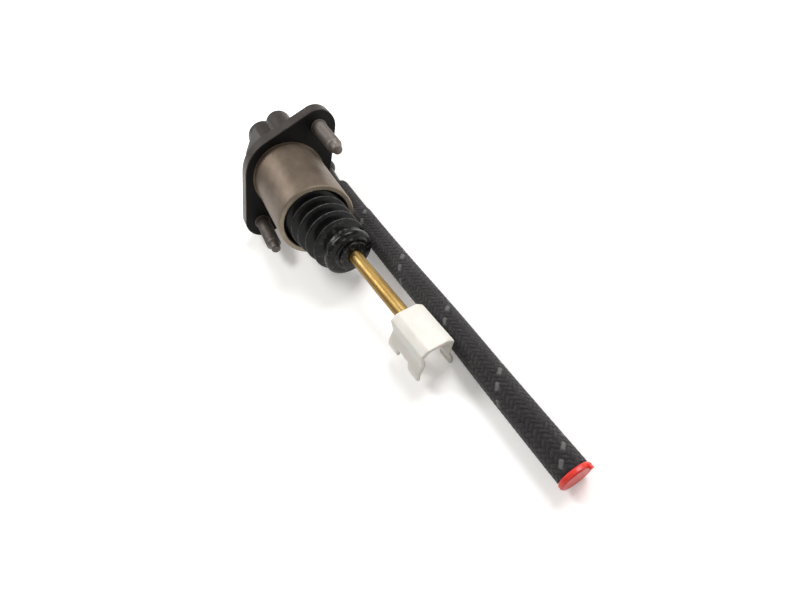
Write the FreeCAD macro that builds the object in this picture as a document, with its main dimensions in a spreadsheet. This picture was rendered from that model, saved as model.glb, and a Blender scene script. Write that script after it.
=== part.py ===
import FreeCAD, Part
import math
import os
import types

import Sketcher

# Hydraulic clutch master cylinder with its feed hose, lying on its flange as photographed.
# Row frame, millimetres: the origin is the centre of the flange's mounting face, +X runs along the bore
# towards the pedal, +Y to the side where the feed hose lies, +Z up.

DRIVING = {
    # flange and its studs
    "flange_thickness": 10.0,
    "flange_mid_radius": 30.3,
    "flange_corner_radius": 12.0,
    "flange_edge": 0.9,
    "stud_offset": 40.0,
    "stud_radius": 5.0,
    "stud_reach": 35.0,
    "stud_shoulder_radius": 5.6,
    "stud_cone_length": 2.4,
    "stud_point_radius": 3.2,
    "stud_point_length": 4.6,
    "stud_point_chamfer": 1.0,
    "stud_head_radius": 7.5,
    "stud_head_thickness": 4.0,
    # cast housing behind the flange
    "housing_radius": 20.0,
    "housing_length": 38.0,
    "housing_edge": 1.2,
    "nose_radius": 12.0,
    "nose_length": 20.0,
    "nose_chamfer": 0.8,
    "end_wall": 4.0,
    "chamber_radius": 10.0,
    "flat_height": 16.5,
    "flat_angle": 128.0,
    # spigot and the stack of seals inside it
    "stack_radius": 13.0,
    "stack_depth": 28.5,
    "spigot_wall": 4.0,
    "spigot_lip": 2.8,
    "seal_width": 6.0,
    "seal_base": 2.4,
    "lip_width": 1.1,
    "feed_ring_width": 9.5,
    "feed_ring_wall": 2.4,
    "feed_groove_width": 5.0,
    "feed_groove_depth": 1.0,
    "feed_hole_radius": 1.2,
    "bush_length": 17.0,
    "bush_chamfer": 0.6,
    "washer_thickness": 2.0,
    "washer_hole_radius": 8.4,
    "circlip_thickness": 1.2,
    "circlip_depth": 0.9,
    "circlip_width": 2.2,
    "circlip_gap": 6.0,
    "circlip_eye_radius": 2.0,
    "circlip_hole_radius": 0.8,
    # plunger, its spring and the ball socket
    "plunger_radius": 9.5,
    "plunger_length": 41.0,
    "plunger_chamfer": 0.8,
    "cavity_radius": 6.5,
    "cavity_depth": 25.0,
    "bleed_radius": 0.6,
    "seal_clearance": 0.08,
    "bush_clearance": 0.05,
    "stop_gap": 0.05,
    "ball_radius": 6.0,
    "ball_depth": 7.0,
    "ball_clearance": 0.05,
    "retainer_radius": 7.2,
    "retainer_length": 6.0,
    "retainer_grip_radius": 5.1,
    "retainer_mouth_radius": 6.0,
    "spring_radius": 5.2,
    "spring_wire_radius": 0.7,
    "spring_turns": 7.0,
    "spring_gap": 0.1,
    "seat_thickness": 1.5,
    "seat_pilot_radius": 4.2,
    "seat_pilot_length": 4.0,
    # bright turned barrel
    "barrel_radius": 24.5,
    "barrel_bore_radius": 21.0,
    "barrel_reach": 57.0,
    "barrel_seat_depth": 6.0,
    "barrel_collar_height": 1.0,
    "barrel_collar_width": 1.5,
    "barrel_edge": 0.6,
    "bead_inset": 33.0,
    "bead_width": 1.5,
    "bead_height": 0.9,
    "bead_clearance": 0.1,
    # boot
    "boot_wall": 1.6,
    "boot_reach": 95.0,
    "boot_straight_inset": 7.0,
    "skirt_clearance": 0.8,
    "skirt_length": 6.15,
    "fold_clearance": 1.6,
    "fold_depth": 4.6,
    "fold_taper": 0.08,
    "bulb_length": 11.6,
    "bulb_radius": 15.5,
    "bulb_sag_y": 1.6,
    "bulb_sag_z": 1.8,
    "bulb_turn": 7.0,
    "boot_neck_radius": 7.8,
    "boot_neck_length": 3.4,
    "boot_collar_radius": 9.0,
    "boot_collar_length": 2.4,
    "boot_collar_inset": 0.6,
    # pushrod
    "rod_radius": 4.0,
    "rod_neck_radius": 3.2,
    "rod_neck_length": 3.0,
    "rod_chamfer": 0.8,
    "rod_length": 161.5,
    "rod_groove_radius": 3.4,
    "rod_groove_width": 3.4,
    "rod_fit": 0.3,
    "rod_yaw": 4.4,
    "tip_ball_radius": 5.0,
    # pedal clip
    "clip_length": 28.0,
    "clip_wall": 2.2,
    "clip_half_width": 10.0,
    "clip_top": 8.0,
    "clip_shoulder": 5.0,
    "clip_waist": 8.6,
    "clip_waist_drop": 4.0,
    "clip_foot": 11.3,
    "clip_foot_drop": 11.0,
    "clip_leg_drop": 15.0,
    "clip_roll": 22.0,
    "clip_boss_radius": 7.0,
    "clip_boss_drop": 4.2,
    "clip_mouth_radius": 4.7,
    "clip_slot_clearance": 0.4,
    "clip_notch_width": 9.0,
    "clip_notch_height": 5.0,
    "clip_ball_clearance": 0.08,
    # outlet port
    "outlet_offset": 19.6,
    "outlet_angle": 40.0,
    "outlet_boss_radius": 9.5,
    "outlet_boss_edge": 2.0,
    "outlet_thread_radius": 5.5,
    "outlet_thread_depth": 12.0,
    "outlet_drill_radius": 1.5,
    "outlet_drill_angle": 65.0,
    # inlet port, its seal and the hose connector
    "inlet_x": 17.5,
    "inlet_boss_radius": 9.0,
    "inlet_reach": 24.5,
    "inlet_bore_radius": 5.6,
    "inlet_floor": 15.0,
    "inlet_drill_radius": 2.0,
    "grommet_length": 4.5,
    "stem_radius": 3.5,
    "stem_collar_radius": 5.4,
    "stem_groove_radius": 4.0,
    "stem_groove_width": 2.6,
    "stem_gap": 0.05,
    "pin_radius": 1.1,
    "pin_bore_radius": 0.6,
    "pin_drop": 2.4,
    "pin_inset": 5.2,
    "elbow_radius": 6.3,
    "elbow_axis_y": 26.6,
    "neck_radius": 3.3,
    "barb_length": 31.0,
    "barb_radius": 5.2,
    "passage_radius": 2.0,
    # feed hose and its transit plug
    "hose_radius": 7.7,
    "hose_bore_radius": 4.6,
    "plug_radius": 8.15,
    "plug_thickness": 2.6,
    "plug_edge": 0.6,
    "plug_gap": 0.05,
    "plug_stem_clearance": 0.1,
    "plug_stem_length": 12.0,
    "plug_stem_wall": 1.1,
    "plug_tab_radius": 1.0,
    "plug_tab_y": 6.5,
    "plug_tab_z": 4.9,
}

ROUND = 360.0
CUT_MARGIN = 1.0
SAME_PLACE = 1e-6
# Where a rounded edge's middle lies, as a share of the edge
EASED_EDGE = 0.3
FEED_HOLES = 6
BLEED_HOLES = 4
BARBS = 3
FOLDS = 8
RINGS_A_FOLD = 6
# Under one, a fold's crest is rounder than a plain wave's
FOLD_SHARPNESS = 0.7
# How much of the shorter straight run each arc of the hose takes up
ARC_SHARE = 0.45

os.makedirs("parts", exist_ok=True)
doc = FreeCAD.newDocument("clutch_cylinder")
sheet = doc.addObject("Spreadsheet::Sheet", "Sizes")
for row, (alias, value) in enumerate(DRIVING.items(), start=1):
    sheet.set(f"A{row}", alias)
    sheet.set(f"B{row}", str(value))
    sheet.setAlias(f"B{row}", alias)
doc.recompute()


def number_of(term):
    return term.number if isinstance(term, Size) else float(term)


def formula_of(term):
    return term.formula if isinstance(term, Size) else repr(term)


class Size:
    """A size that carries its number together with the sheet formula it is worked out by."""

    def __init__(self, number, formula):
        self.number = number
        self.formula = formula

    def __add__(self, other):
        return Size(self.number + number_of(other), f"({self.formula} + {formula_of(other)})")

    def __sub__(self, other):
        return Size(self.number - number_of(other), f"({self.formula} - {formula_of(other)})")

    def __mul__(self, other):
        return Size(self.number * number_of(other), f"({self.formula} * {formula_of(other)})")

    def __truediv__(self, other):
        return Size(self.number / number_of(other), f"({self.formula} / {formula_of(other)})")

    def __neg__(self):
        return Size(-self.number, f"(0 - {self.formula})")


def root(size):
    return Size(math.sqrt(size.number), f"sqrt({size.formula})")


def chord(radius, half_width):
    """How far from a circle's centre a line lies that cuts it at this half width."""
    return root(radius * radius - half_width * half_width)


given = types.SimpleNamespace(**{a: Size(v, f"Sizes.{a}") for a, v in DRIVING.items()})

X_AXIS = FreeCAD.Vector(1, 0, 0)
Y_AXIS = FreeCAD.Vector(0, 1, 0)
Z_AXIS = FreeCAD.Vector(0, 0, 1)


def point(*coordinates):
    return FreeCAD.Vector(*[number_of(c) for c in coordinates])


def across(degrees):
    """Unit vector square to the bore, turned from +Y towards +Z."""
    return FreeCAD.Vector(0, math.cos(math.radians(degrees)), math.sin(math.radians(degrees)))


def facing(direction, base=None, sideways=X_AXIS):
    """Placement whose local Z points along direction, with local X as near sideways as it can be."""
    rotation = FreeCAD.Rotation(sideways, FreeCAD.Vector(), direction, "ZXY")
    return FreeCAD.Placement(base or FreeCAD.Vector(), rotation)


def bind(thing, **sizes):
    for name, size in sizes.items():
        thing.setExpression(name, formula_of(size))


def new_body(label):
    body = doc.addObject("PartDesign::Body", label)
    body.Label = label
    return body


def new_sketch(body, name, placement=None):
    sketch = body.newObject("Sketcher::SketchObject", name)
    plane = next(f for f in body.Origin.OriginFeatures if f.Role == "XY_Plane")
    sketch.AttachmentSupport = [(plane, "")]
    sketch.MapMode = "FlatFace"
    sketch.AttachmentOffset = placement or FreeCAD.Placement()
    return sketch


def hold(sketch, kind, *references, size):
    """One constraint whose value follows a size."""
    index = sketch.addConstraint(Sketcher.Constraint(kind, *references, number_of(size)))
    if isinstance(size, Size):
        sketch.setExpression(f"Constraints[{index}]", size.formula)


def hold_point(sketch, geometry, end, x, y):
    """Keeps one end of a line or arc at its own place in the sketch."""
    for kind, axis, size in (("DistanceX", -2, x), ("DistanceY", -1, y)):
        if isinstance(size, Size):
            hold(sketch, kind, -1, 1, geometry, end, size=size)
        elif size == 0:
            sketch.addConstraint(Sketcher.Constraint("PointOnObject", geometry, end, axis))
        else:
            hold(sketch, kind, -1, 1, geometry, end, size=size)


def draw_outline(sketch, corners, arcs=None):
    """A closed outline. arcs gives, for the edge after a corner, the place on the axis its circle is centred on."""
    arcs = arcs or {}
    ends = []
    for i, corner in enumerate(corners):
        start = point(*corner)
        finish = point(*corners[(i + 1) % len(corners)])
        if i in arcs:
            centre = point(arcs[i], 0)
            spread = [math.atan2(p.y, p.x - centre.x) for p in (finish, start)]
            circle = Part.Circle(centre, Z_AXIS, start.distanceToPoint(centre))
            edge = sketch.addGeometry(Part.ArcOfCircle(circle, *spread))
            sketch.addConstraint(Sketcher.Constraint("PointOnObject", edge, 3, -1))
            ends.append((edge, 2, 1))
        else:
            edge = sketch.addGeometry(Part.LineSegment(start, finish))
            ends.append((edge, 1, 2))
    for i, (edge, first, last) in enumerate(ends):
        following, its_first, _ = ends[(i + 1) % len(ends)]
        sketch.addConstraint(Sketcher.Constraint("Coincident", edge, last, following, its_first))
        hold_point(sketch, edge, first, *corners[i])


def draw_circle(sketch, radius, x=0, y=0):
    circle = sketch.addGeometry(Part.Circle(point(x, y), Z_AXIS, number_of(radius)))
    hold(sketch, "Radius", circle, size=radius)
    hold_point(sketch, circle, 3, x, y)


def revolve(body, name, corners, arcs=None, cut=False, placement=None):
    """Turns an outline, given as distance along the bore and radius, about the bore or a line beside it."""
    sketch = new_sketch(body, name + "_outline", placement)
    draw_outline(sketch, corners, arcs)
    feature = body.newObject("PartDesign::Groove" if cut else "PartDesign::Revolution", name)
    feature.Profile = sketch
    feature.ReferenceAxis = (sketch, ["H_Axis"])
    feature.Angle = ROUND
    return feature


def round_rims(body, base, radius, stations):
    """Rounds the edges of a plate or boss that lie square to the bore at these stations."""
    doc.recompute()
    rims = [
        f"Edge{i}"
        for i, edge in enumerate(base.Shape.Edges, start=1)
        if any(max(abs(v.X - number_of(s)) for v in edge.Vertexes) < SAME_PLACE for s in stations)
    ]
    fillet = body.newObject("PartDesign::Fillet", base.Name + "_rounded")
    fillet.Base = (base, rims)
    bind(fillet, Radius=radius)
    return fillet


def extrude(body, name, sketch, length, cut=False, backwards=False):
    feature = body.newObject("PartDesign::Pocket" if cut else "PartDesign::Pad", name)
    feature.Profile = sketch
    feature.Length = number_of(length)
    if isinstance(length, Size):
        bind(feature, Length=length)
    feature.Reversed = backwards
    return feature


def turned(label, corners, arcs=None):
    """A sub-part that is one turned or moulded ring about the bore."""
    body = new_body(label)
    revolve(body, label + "_turned", corners, arcs)
    return body


def cylinder(name, radius, length, base, direction):
    thing = doc.addObject("Part::Cylinder", name)
    bind(thing, Radius=radius, Height=length)
    thing.Placement = facing(direction, base)
    return thing


def fused(name, pieces):
    thing = doc.addObject("Part::MultiFuse", name)
    thing.Shapes = pieces
    return thing


def cut_from(name, base, tool):
    thing = doc.addObject("Part::Cut", name)
    thing.Base = base
    thing.Tool = tool
    return thing


# Stations along the bore, all worked out from the driving sizes
flange_rear = -given.flange_thickness
housing_rear = flange_rear - given.housing_length
casting_rear = housing_rear - given.nose_length
chamber_rear = casting_rear + given.end_wall
stack_rear = -given.stack_depth
feed_ring_rear = stack_rear + given.seal_width
second_seal_rear = feed_ring_rear + given.feed_ring_width
bush_rear = second_seal_rear + given.seal_width
washer_rear = bush_rear + given.bush_length
circlip_rear = washer_rear + given.washer_thickness
circlip_front = circlip_rear + given.circlip_thickness
spigot_front = circlip_front + given.spigot_lip
spigot_radius = given.stack_radius + given.spigot_wall
circlip_radius = given.stack_radius + given.circlip_depth
plunger_front = washer_rear - given.stop_gap
plunger_rear = plunger_front - given.plunger_length
cavity_front = plunger_rear + given.cavity_depth
ball_x = plunger_front - given.ball_depth
feed_hole_x = feed_ring_rear + given.feed_ring_width / 2
bead_front = given.barrel_reach - given.bead_inset
bead_rear = bead_front - given.bead_width

# The flange lies on one of its straight flanks, and that sets the roll of the stud line
stud_roll = math.degrees(
    math.asin((DRIVING["flange_mid_radius"] - DRIVING["flange_corner_radius"]) / DRIVING["stud_offset"])
)
floor_z = -DRIVING["flange_mid_radius"]

# The pushrod droops until the pedal clip's lower foot meets the surface that the flange lies on
clip_roll = math.radians(DRIVING["clip_roll"])
clip_depth = DRIVING["clip_foot"] * math.sin(clip_roll) + DRIVING["clip_leg_drop"] * math.cos(clip_roll)
clip_far_end = DRIVING["rod_length"] + DRIVING["clip_length"] / 2
rod_pitch = math.asin(-floor_z / math.hypot(clip_far_end, clip_depth)) - math.atan2(clip_depth, clip_far_end)
rod_yaw = math.radians(DRIVING["rod_yaw"])
rod_direction = FreeCAD.Vector(
    math.cos(rod_pitch) * math.cos(rod_yaw), math.cos(rod_pitch) * math.sin(rod_yaw), -math.sin(rod_pitch)
)
ball_centre = point(ball_x, 0, 0)
tip_centre = ball_centre + rod_direction * DRIVING["rod_length"]


def rod_line(x):
    """The point of the pushrod's axis at this distance along the bore."""
    return ball_centre + rod_direction * ((x - ball_centre.x) / rod_direction.x)


# The hose lies on the same surface, and the inlet port points straight at the corner of its connector
hose_z = floor_z + DRIVING["hose_radius"]
inlet = across(math.degrees(math.atan2(hose_z, DRIVING["elbow_axis_y"])))
inlet_sideways = X_AXIS.cross(inlet)
outlet = across(DRIVING["outlet_angle"])


# Flange outline: two wide arcs about the bore, a small arc about each stud and four flanks that touch both
def draw_flange(sketch):
    mid, corner, offset = (
        DRIVING["flange_mid_radius"],
        DRIVING["flange_corner_radius"],
        DRIVING["stud_offset"],
    )
    touch = math.acos((mid - corner) / offset)
    loops = [
        (0.0, mid, touch, math.pi - touch),
        (-offset, corner, math.pi - touch, math.pi + touch),
        (0.0, mid, math.pi + touch, 2 * math.pi - touch),
        (offset, corner, -touch, touch),
    ]
    arcs = []
    for centre_x, radius, first, last in loops:
        circle = Part.Circle(FreeCAD.Vector(centre_x, 0, 0), Z_AXIS, radius)
        arcs.append(sketch.addGeometry(Part.ArcOfCircle(circle, first, last)))
    for i, (centre_x, radius, _, last) in enumerate(loops):
        next_x, next_radius, next_first, _ = loops[(i + 1) % len(loops)]
        start = FreeCAD.Vector(centre_x + radius * math.cos(last), radius * math.sin(last), 0)
        finish = FreeCAD.Vector(
            next_x + next_radius * math.cos(next_first), next_radius * math.sin(next_first), 0
        )
        flank = sketch.addGeometry(Part.LineSegment(start, finish))
        sketch.addConstraint(Sketcher.Constraint("Tangent", arcs[i], 2, flank, 1))
        sketch.addConstraint(Sketcher.Constraint("Tangent", flank, 2, arcs[(i + 1) % len(arcs)], 1))
    sizes = [
        (0, given.flange_mid_radius),
        (-given.stud_offset, given.flange_corner_radius),
        (0, given.flange_mid_radius),
        (given.stud_offset, given.flange_corner_radius),
    ]
    for arc, (centre_x, radius) in zip(arcs, sizes):
        hold(sketch, "Radius", arc, size=radius)
        hold_point(sketch, arc, 3, centre_x, 0)


def make_cylinder_body():
    """The black casting: flange, spigot, housing, both ports and the stepped bore."""
    body = new_body("cylinder_body")
    stud_line = across(stud_roll)
    flange_plane = facing(X_AXIS, sideways=stud_line)
    flange = new_sketch(body, "flange_outline", flange_plane)
    draw_flange(flange)
    plate = extrude(body, "flange_plate", flange, given.flange_thickness, backwards=True)
    round_rims(body, plate, given.flange_edge, (0, flange_rear))
    revolve(
        body,
        "housing_and_spigot",
        [
            (casting_rear, 0),
            (casting_rear, given.nose_radius - given.nose_chamfer),
            (casting_rear + given.nose_chamfer, given.nose_radius),
            (housing_rear, given.nose_radius),
            (housing_rear, given.housing_radius - given.housing_edge),
            (housing_rear + given.housing_edge, given.housing_radius),
            (flange_rear, given.housing_radius),
            (-given.barrel_seat_depth, spigot_radius),
            (spigot_front, spigot_radius),
            (spigot_front, 0),
        ],
    )
    inlet_boss = new_sketch(body, "inlet_boss_outline", facing(inlet))
    draw_circle(inlet_boss, given.inlet_boss_radius, -given.inlet_x)
    extrude(body, "inlet_boss", inlet_boss, given.inlet_reach)
    edge = given.outlet_boss_edge
    revolve(
        body,
        "outlet_boss",
        [
            (housing_rear, 0),
            (housing_rear, given.outlet_boss_radius - edge),
            (housing_rear + edge * EASED_EDGE, given.outlet_boss_radius - edge * EASED_EDGE),
            (housing_rear + edge, given.outlet_boss_radius),
            (flange_rear, given.outlet_boss_radius),
            (flange_rear, 0),
        ],
        placement=FreeCAD.Placement(outlet * DRIVING["outlet_offset"], FreeCAD.Rotation()),
    )
    flat = new_sketch(
        body,
        "flat_outline",
        facing(across(DRIVING["flat_angle"]), across(DRIVING["flat_angle"]) * DRIVING["flat_height"]),
    )
    draw_outline(
        flat,
        [
            (casting_rear - CUT_MARGIN, -given.housing_radius),
            (flange_rear, -given.housing_radius),
            (flange_rear, given.housing_radius),
            (casting_rear - CUT_MARGIN, given.housing_radius),
        ],
    )
    extrude(body, "flat_cut", flat, given.housing_radius, cut=True, backwards=True)
    revolve(
        body,
        "barrel_seat",
        [
            (-given.barrel_seat_depth, spigot_radius),
            (-given.barrel_seat_depth, given.barrel_radius),
            (CUT_MARGIN, given.barrel_radius),
            (CUT_MARGIN, spigot_radius),
        ],
        cut=True,
    )
    revolve(
        body,
        "stepped_bore",
        [
            (chamber_rear, 0),
            (chamber_rear, given.chamber_radius),
            (stack_rear, given.chamber_radius),
            (stack_rear, given.stack_radius),
            (circlip_rear, given.stack_radius),
            (circlip_rear, circlip_radius),
            (circlip_front, circlip_radius),
            (circlip_front, given.stack_radius),
            (spigot_front + CUT_MARGIN, given.stack_radius),
            (spigot_front + CUT_MARGIN, 0),
        ],
        cut=True,
    )
    for name, radius, floor in (
        ("inlet_bore", given.inlet_bore_radius, given.inlet_floor),
        ("inlet_drilling", given.inlet_drill_radius, 0),
    ):
        sketch = new_sketch(body, name + "_outline", facing(inlet, inlet * DRIVING["inlet_reach"]))
        draw_circle(sketch, radius, -given.inlet_x)
        extrude(body, name, sketch, given.inlet_reach - floor, cut=True)
    outlet_mouth = facing(X_AXIS, point(housing_rear, 0, 0), sideways=outlet)
    thread = new_sketch(body, "outlet_thread_outline", outlet_mouth)
    draw_circle(thread, given.outlet_thread_radius, given.outlet_offset)
    extrude(body, "outlet_thread", thread, given.outlet_thread_depth, cut=True, backwards=True)
    slope = math.radians(DRIVING["outlet_drill_angle"])
    towards_chamber = X_AXIS * math.cos(slope) - outlet * math.sin(slope)
    thread_floor = point(housing_rear + given.outlet_thread_depth, 0, 0)
    drilling = new_sketch(
        body,
        "outlet_drilling_outline",
        facing(-towards_chamber, thread_floor + outlet * DRIVING["outlet_offset"], sideways=inlet),
    )
    draw_circle(drilling, given.outlet_drill_radius)
    extrude(body, "outlet_drilling", drilling, given.outlet_offset, cut=True)
    pin_centre = inlet * (DRIVING["inlet_reach"] - DRIVING["pin_drop"])
    hole = new_sketch(
        body,
        "pin_hole_outline",
        facing(X_AXIS, pin_centre + point(flange_rear, 0, 0), sideways=inlet_sideways),
    )
    draw_circle(hole, given.pin_radius, given.pin_inset)
    extrude(body, "pin_hole", hole, given.housing_length, cut=True)
    studs = new_sketch(body, "stud_holes_outline", flange_plane)
    for centre_x in (given.stud_offset, -given.stud_offset):
        draw_circle(studs, given.stud_shoulder_radius, centre_x)
    extrude(body, "stud_holes", studs, given.flange_thickness, cut=True)
    return body


def make_barrel():
    """The bright sleeve: a turned tube pressed into the flange up to a thin collar."""
    edge = given.barrel_edge
    groove_radius = given.barrel_bore_radius + given.bead_height + given.bead_clearance
    return turned(
        "barrel_sleeve",
        [
            (-given.barrel_seat_depth, given.barrel_bore_radius),
            (-given.barrel_seat_depth, given.barrel_radius),
            (0, given.barrel_radius),
            (0, given.barrel_radius + given.barrel_collar_height),
            (given.barrel_collar_width, given.barrel_radius + given.barrel_collar_height),
            (given.barrel_collar_width, given.barrel_radius),
            (given.barrel_reach - edge, given.barrel_radius),
            (given.barrel_reach, given.barrel_radius - edge),
            (given.barrel_reach, given.barrel_bore_radius + edge),
            (given.barrel_reach - edge, given.barrel_bore_radius),
            (bead_front + given.bead_clearance, given.barrel_bore_radius),
            (bead_front + given.bead_clearance, groove_radius),
            (bead_rear - given.bead_clearance, groove_radius),
            (bead_rear - given.bead_clearance, given.barrel_bore_radius),
        ],
    )


def make_stud(label, side):
    """A flange stud: round head, a shoulder pressed into the flange, shank, and a dog point that guides the nut."""
    head = -given.stud_head_thickness - given.flange_thickness
    point_rear = given.stud_reach - given.stud_point_length
    chamfer = given.stud_point_chamfer
    body = turned(
        label,
        [
            (head, 0),
            (head, given.stud_head_radius),
            (flange_rear, given.stud_head_radius),
            (flange_rear, given.stud_shoulder_radius),
            (0, given.stud_shoulder_radius),
            (0, given.stud_radius),
            (point_rear - given.stud_cone_length, given.stud_radius),
            (point_rear, given.stud_point_radius),
            (given.stud_reach - chamfer, given.stud_point_radius),
            (given.stud_reach, given.stud_point_radius - chamfer),
            (given.stud_reach, 0),
        ],
    )
    body.Placement = FreeCAD.Placement(
        across(stud_roll) * (side * DRIVING["stud_offset"]), FreeCAD.Rotation()
    )
    return body


def make_seal(label, rear):
    """A moulded lip seal: a solid base towards the pedal and two lips that the fluid spreads."""
    inner = given.plunger_radius + given.seal_clearance
    base = rear + given.seal_width - given.seal_base
    return turned(
        label,
        [
            (rear, inner),
            (rear, inner + given.lip_width),
            (base, inner + given.lip_width),
            (base, given.stack_radius - given.lip_width),
            (rear, given.stack_radius - given.lip_width),
            (rear, given.stack_radius),
            (rear + given.seal_width, given.stack_radius),
            (rear + given.seal_width, inner),
        ],
    )


def make_feed_ring():
    """The spacer between the seals: a groove round it and holes through it let the fluid in."""
    body = new_body("feed_ring")
    inner = given.stack_radius - given.feed_ring_wall
    groove = given.stack_radius - given.feed_groove_depth
    revolve(
        body,
        "feed_ring_turned",
        [
            (feed_ring_rear, inner),
            (feed_ring_rear, given.stack_radius),
            (feed_hole_x - given.feed_groove_width / 2, given.stack_radius),
            (feed_hole_x - given.feed_groove_width / 2, groove),
            (feed_hole_x + given.feed_groove_width / 2, groove),
            (feed_hole_x + given.feed_groove_width / 2, given.stack_radius),
            (second_seal_rear, given.stack_radius),
            (second_seal_rear, inner),
        ],
    )
    sketch = new_sketch(body, "feed_hole_outline", facing(Z_AXIS, point(0, 0, given.stack_radius)))
    draw_circle(sketch, given.feed_hole_radius, feed_hole_x)
    hole = extrude(body, "feed_hole", sketch, given.stack_radius, cut=True)
    repeat_round(body, hole, FEED_HOLES)
    return body


def repeat_round(body, feature, count):
    """Repeats a cut evenly about the bore."""
    pattern = body.newObject("PartDesign::PolarPattern", feature.Name + "_round")
    pattern.Originals = [feature]
    pattern.Axis = (next(f for f in body.Origin.OriginFeatures if f.Role == "X_Axis"), [""])
    pattern.Angle = ROUND
    pattern.Occurrences = count
    body.Tip = pattern


def make_guide_bush():
    """The plain nylon bearing that the plunger slides in."""
    inner = given.plunger_radius + given.bush_clearance
    chamfer = given.bush_chamfer
    return turned(
        "guide_bush",
        [
            (bush_rear, inner + chamfer),
            (bush_rear, given.stack_radius),
            (washer_rear, given.stack_radius),
            (washer_rear, inner + chamfer),
            (washer_rear - chamfer, inner),
            (bush_rear + chamfer, inner),
        ],
    )


def make_stop_washer():
    """The flat washer that the plunger comes to rest against."""
    return turned(
        "stop_washer",
        [
            (washer_rear, given.washer_hole_radius),
            (washer_rear, given.stack_radius),
            (circlip_rear, given.stack_radius),
            (circlip_rear, given.washer_hole_radius),
        ],
    )


def make_circlip():
    """The internal circlip: an open ring with two eyes for the pliers."""
    body = new_body("circlip")
    plane = facing(X_AXIS, point(circlip_rear, 0, 0), sideways=Y_AXIS)
    inner = circlip_radius - given.circlip_width
    ring = new_sketch(body, "circlip_outline", plane)
    draw_circle(ring, circlip_radius)
    draw_circle(ring, inner)
    extrude(body, "circlip_ring", ring, given.circlip_thickness)
    eye_y = inner - given.circlip_eye_radius / 2
    eye_x = given.circlip_gap / 2 + given.circlip_eye_radius
    for side, name in ((eye_x, "right_eye"), (-eye_x, "left_eye")):
        eye = new_sketch(body, name + "_outline", plane)
        draw_circle(eye, given.circlip_eye_radius, side, eye_y)
        extrude(body, name, eye, given.circlip_thickness)
    gap = new_sketch(body, "gap_outline", plane)
    draw_outline(
        gap,
        [
            (-given.circlip_gap / 2, 0),
            (given.circlip_gap / 2, 0),
            (given.circlip_gap / 2, circlip_radius + CUT_MARGIN),
            (-given.circlip_gap / 2, circlip_radius + CUT_MARGIN),
        ],
    )
    extrude(body, "gap_cut", gap, given.circlip_thickness, cut=True, backwards=True)
    holes = new_sketch(body, "eye_holes_outline", plane)
    for side in (eye_x, -eye_x):
        draw_circle(holes, given.circlip_hole_radius, side, eye_y)
    extrude(body, "eye_holes", holes, given.circlip_thickness, cut=True, backwards=True)
    return body


def make_plunger():
    """The plunger: bored out for the return spring behind, and socketed for the pushrod's ball in front."""
    body = new_body("plunger")
    chamfer = given.plunger_chamfer
    seat_radius = given.ball_radius + given.ball_clearance
    revolve(
        body,
        "plunger_turned",
        [
            (plunger_rear, 0),
            (plunger_rear, given.plunger_radius - chamfer),
            (plunger_rear + chamfer, given.plunger_radius),
            (plunger_front - chamfer, given.plunger_radius),
            (plunger_front, given.plunger_radius - chamfer),
            (plunger_front, 0),
        ],
    )
    revolve(
        body,
        "spring_cavity",
        [
            (plunger_rear - CUT_MARGIN, 0),
            (plunger_rear - CUT_MARGIN, given.cavity_radius),
            (cavity_front, given.cavity_radius),
            (cavity_front, 0),
        ],
        cut=True,
    )
    revolve(
        body,
        "ball_seat",
        [
            (ball_x - seat_radius, 0),
            (ball_x, seat_radius),
            (ball_x, given.retainer_radius),
            (plunger_front + CUT_MARGIN, given.retainer_radius),
            (plunger_front + CUT_MARGIN, 0),
        ],
        arcs={0: ball_x},
        cut=True,
    )
    sketch = new_sketch(body, "bleed_outline", facing(Z_AXIS, point(0, 0, given.plunger_radius)))
    draw_circle(sketch, given.bleed_radius, feed_hole_x)
    hole = extrude(body, "bleed_hole", sketch, given.plunger_radius - given.cavity_radius / 2, cut=True)
    repeat_round(body, hole, BLEED_HOLES)
    return body


def make_retainer():
    """The moulded ring that snaps into the plunger and keeps the pushrod's ball in its seat."""
    seat_radius = given.ball_radius + given.ball_clearance
    return turned(
        "rod_retainer",
        [
            (ball_x, seat_radius),
            (ball_x + chord(seat_radius, given.retainer_grip_radius), given.retainer_grip_radius),
            (ball_x + given.retainer_length, given.retainer_mouth_radius),
            (ball_x + given.retainer_length, given.retainer_radius),
            (ball_x, given.retainer_radius),
        ],
        arcs={0: ball_x},
    )


def make_spring_seat():
    """The small cup at the end of the chamber that centres the spring."""
    face = chamber_rear + given.seat_thickness
    return turned(
        "spring_seat",
        [
            (chamber_rear, 0),
            (chamber_rear, given.chamber_radius - given.seat_thickness),
            (face, given.chamber_radius - given.seat_thickness),
            (face, given.seat_pilot_radius),
            (face + given.seat_pilot_length, given.seat_pilot_radius),
            (face + given.seat_pilot_length, 0),
        ],
    )


def make_return_spring():
    """The compression spring between its seat and the bottom of the plunger's cavity."""
    clear = given.spring_gap + given.spring_wire_radius
    rear = chamber_rear + given.seat_thickness + clear
    height = cavity_front - clear - rear
    helix = doc.addObject("Part::Helix", "spring_line")
    bind(helix, Radius=given.spring_radius, Height=height, Pitch=height / given.spring_turns)
    helix.Placement = facing(X_AXIS, point(rear, 0, 0), sideways=Y_AXIS)
    ring = doc.addObject("Part::Circle", "spring_wire")
    bind(ring, Radius=given.spring_wire_radius)
    start = point(rear, given.spring_radius, 0)
    ring.Placement = facing(Z_AXIS, start)
    spring = doc.addObject("Part::Sweep", "return_spring")
    doc.recompute()
    spring.Sections = [ring]
    spring.Spine = (helix, ["Edge1"])
    spring.Solid = True
    spring.Frenet = True
    return spring


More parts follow.
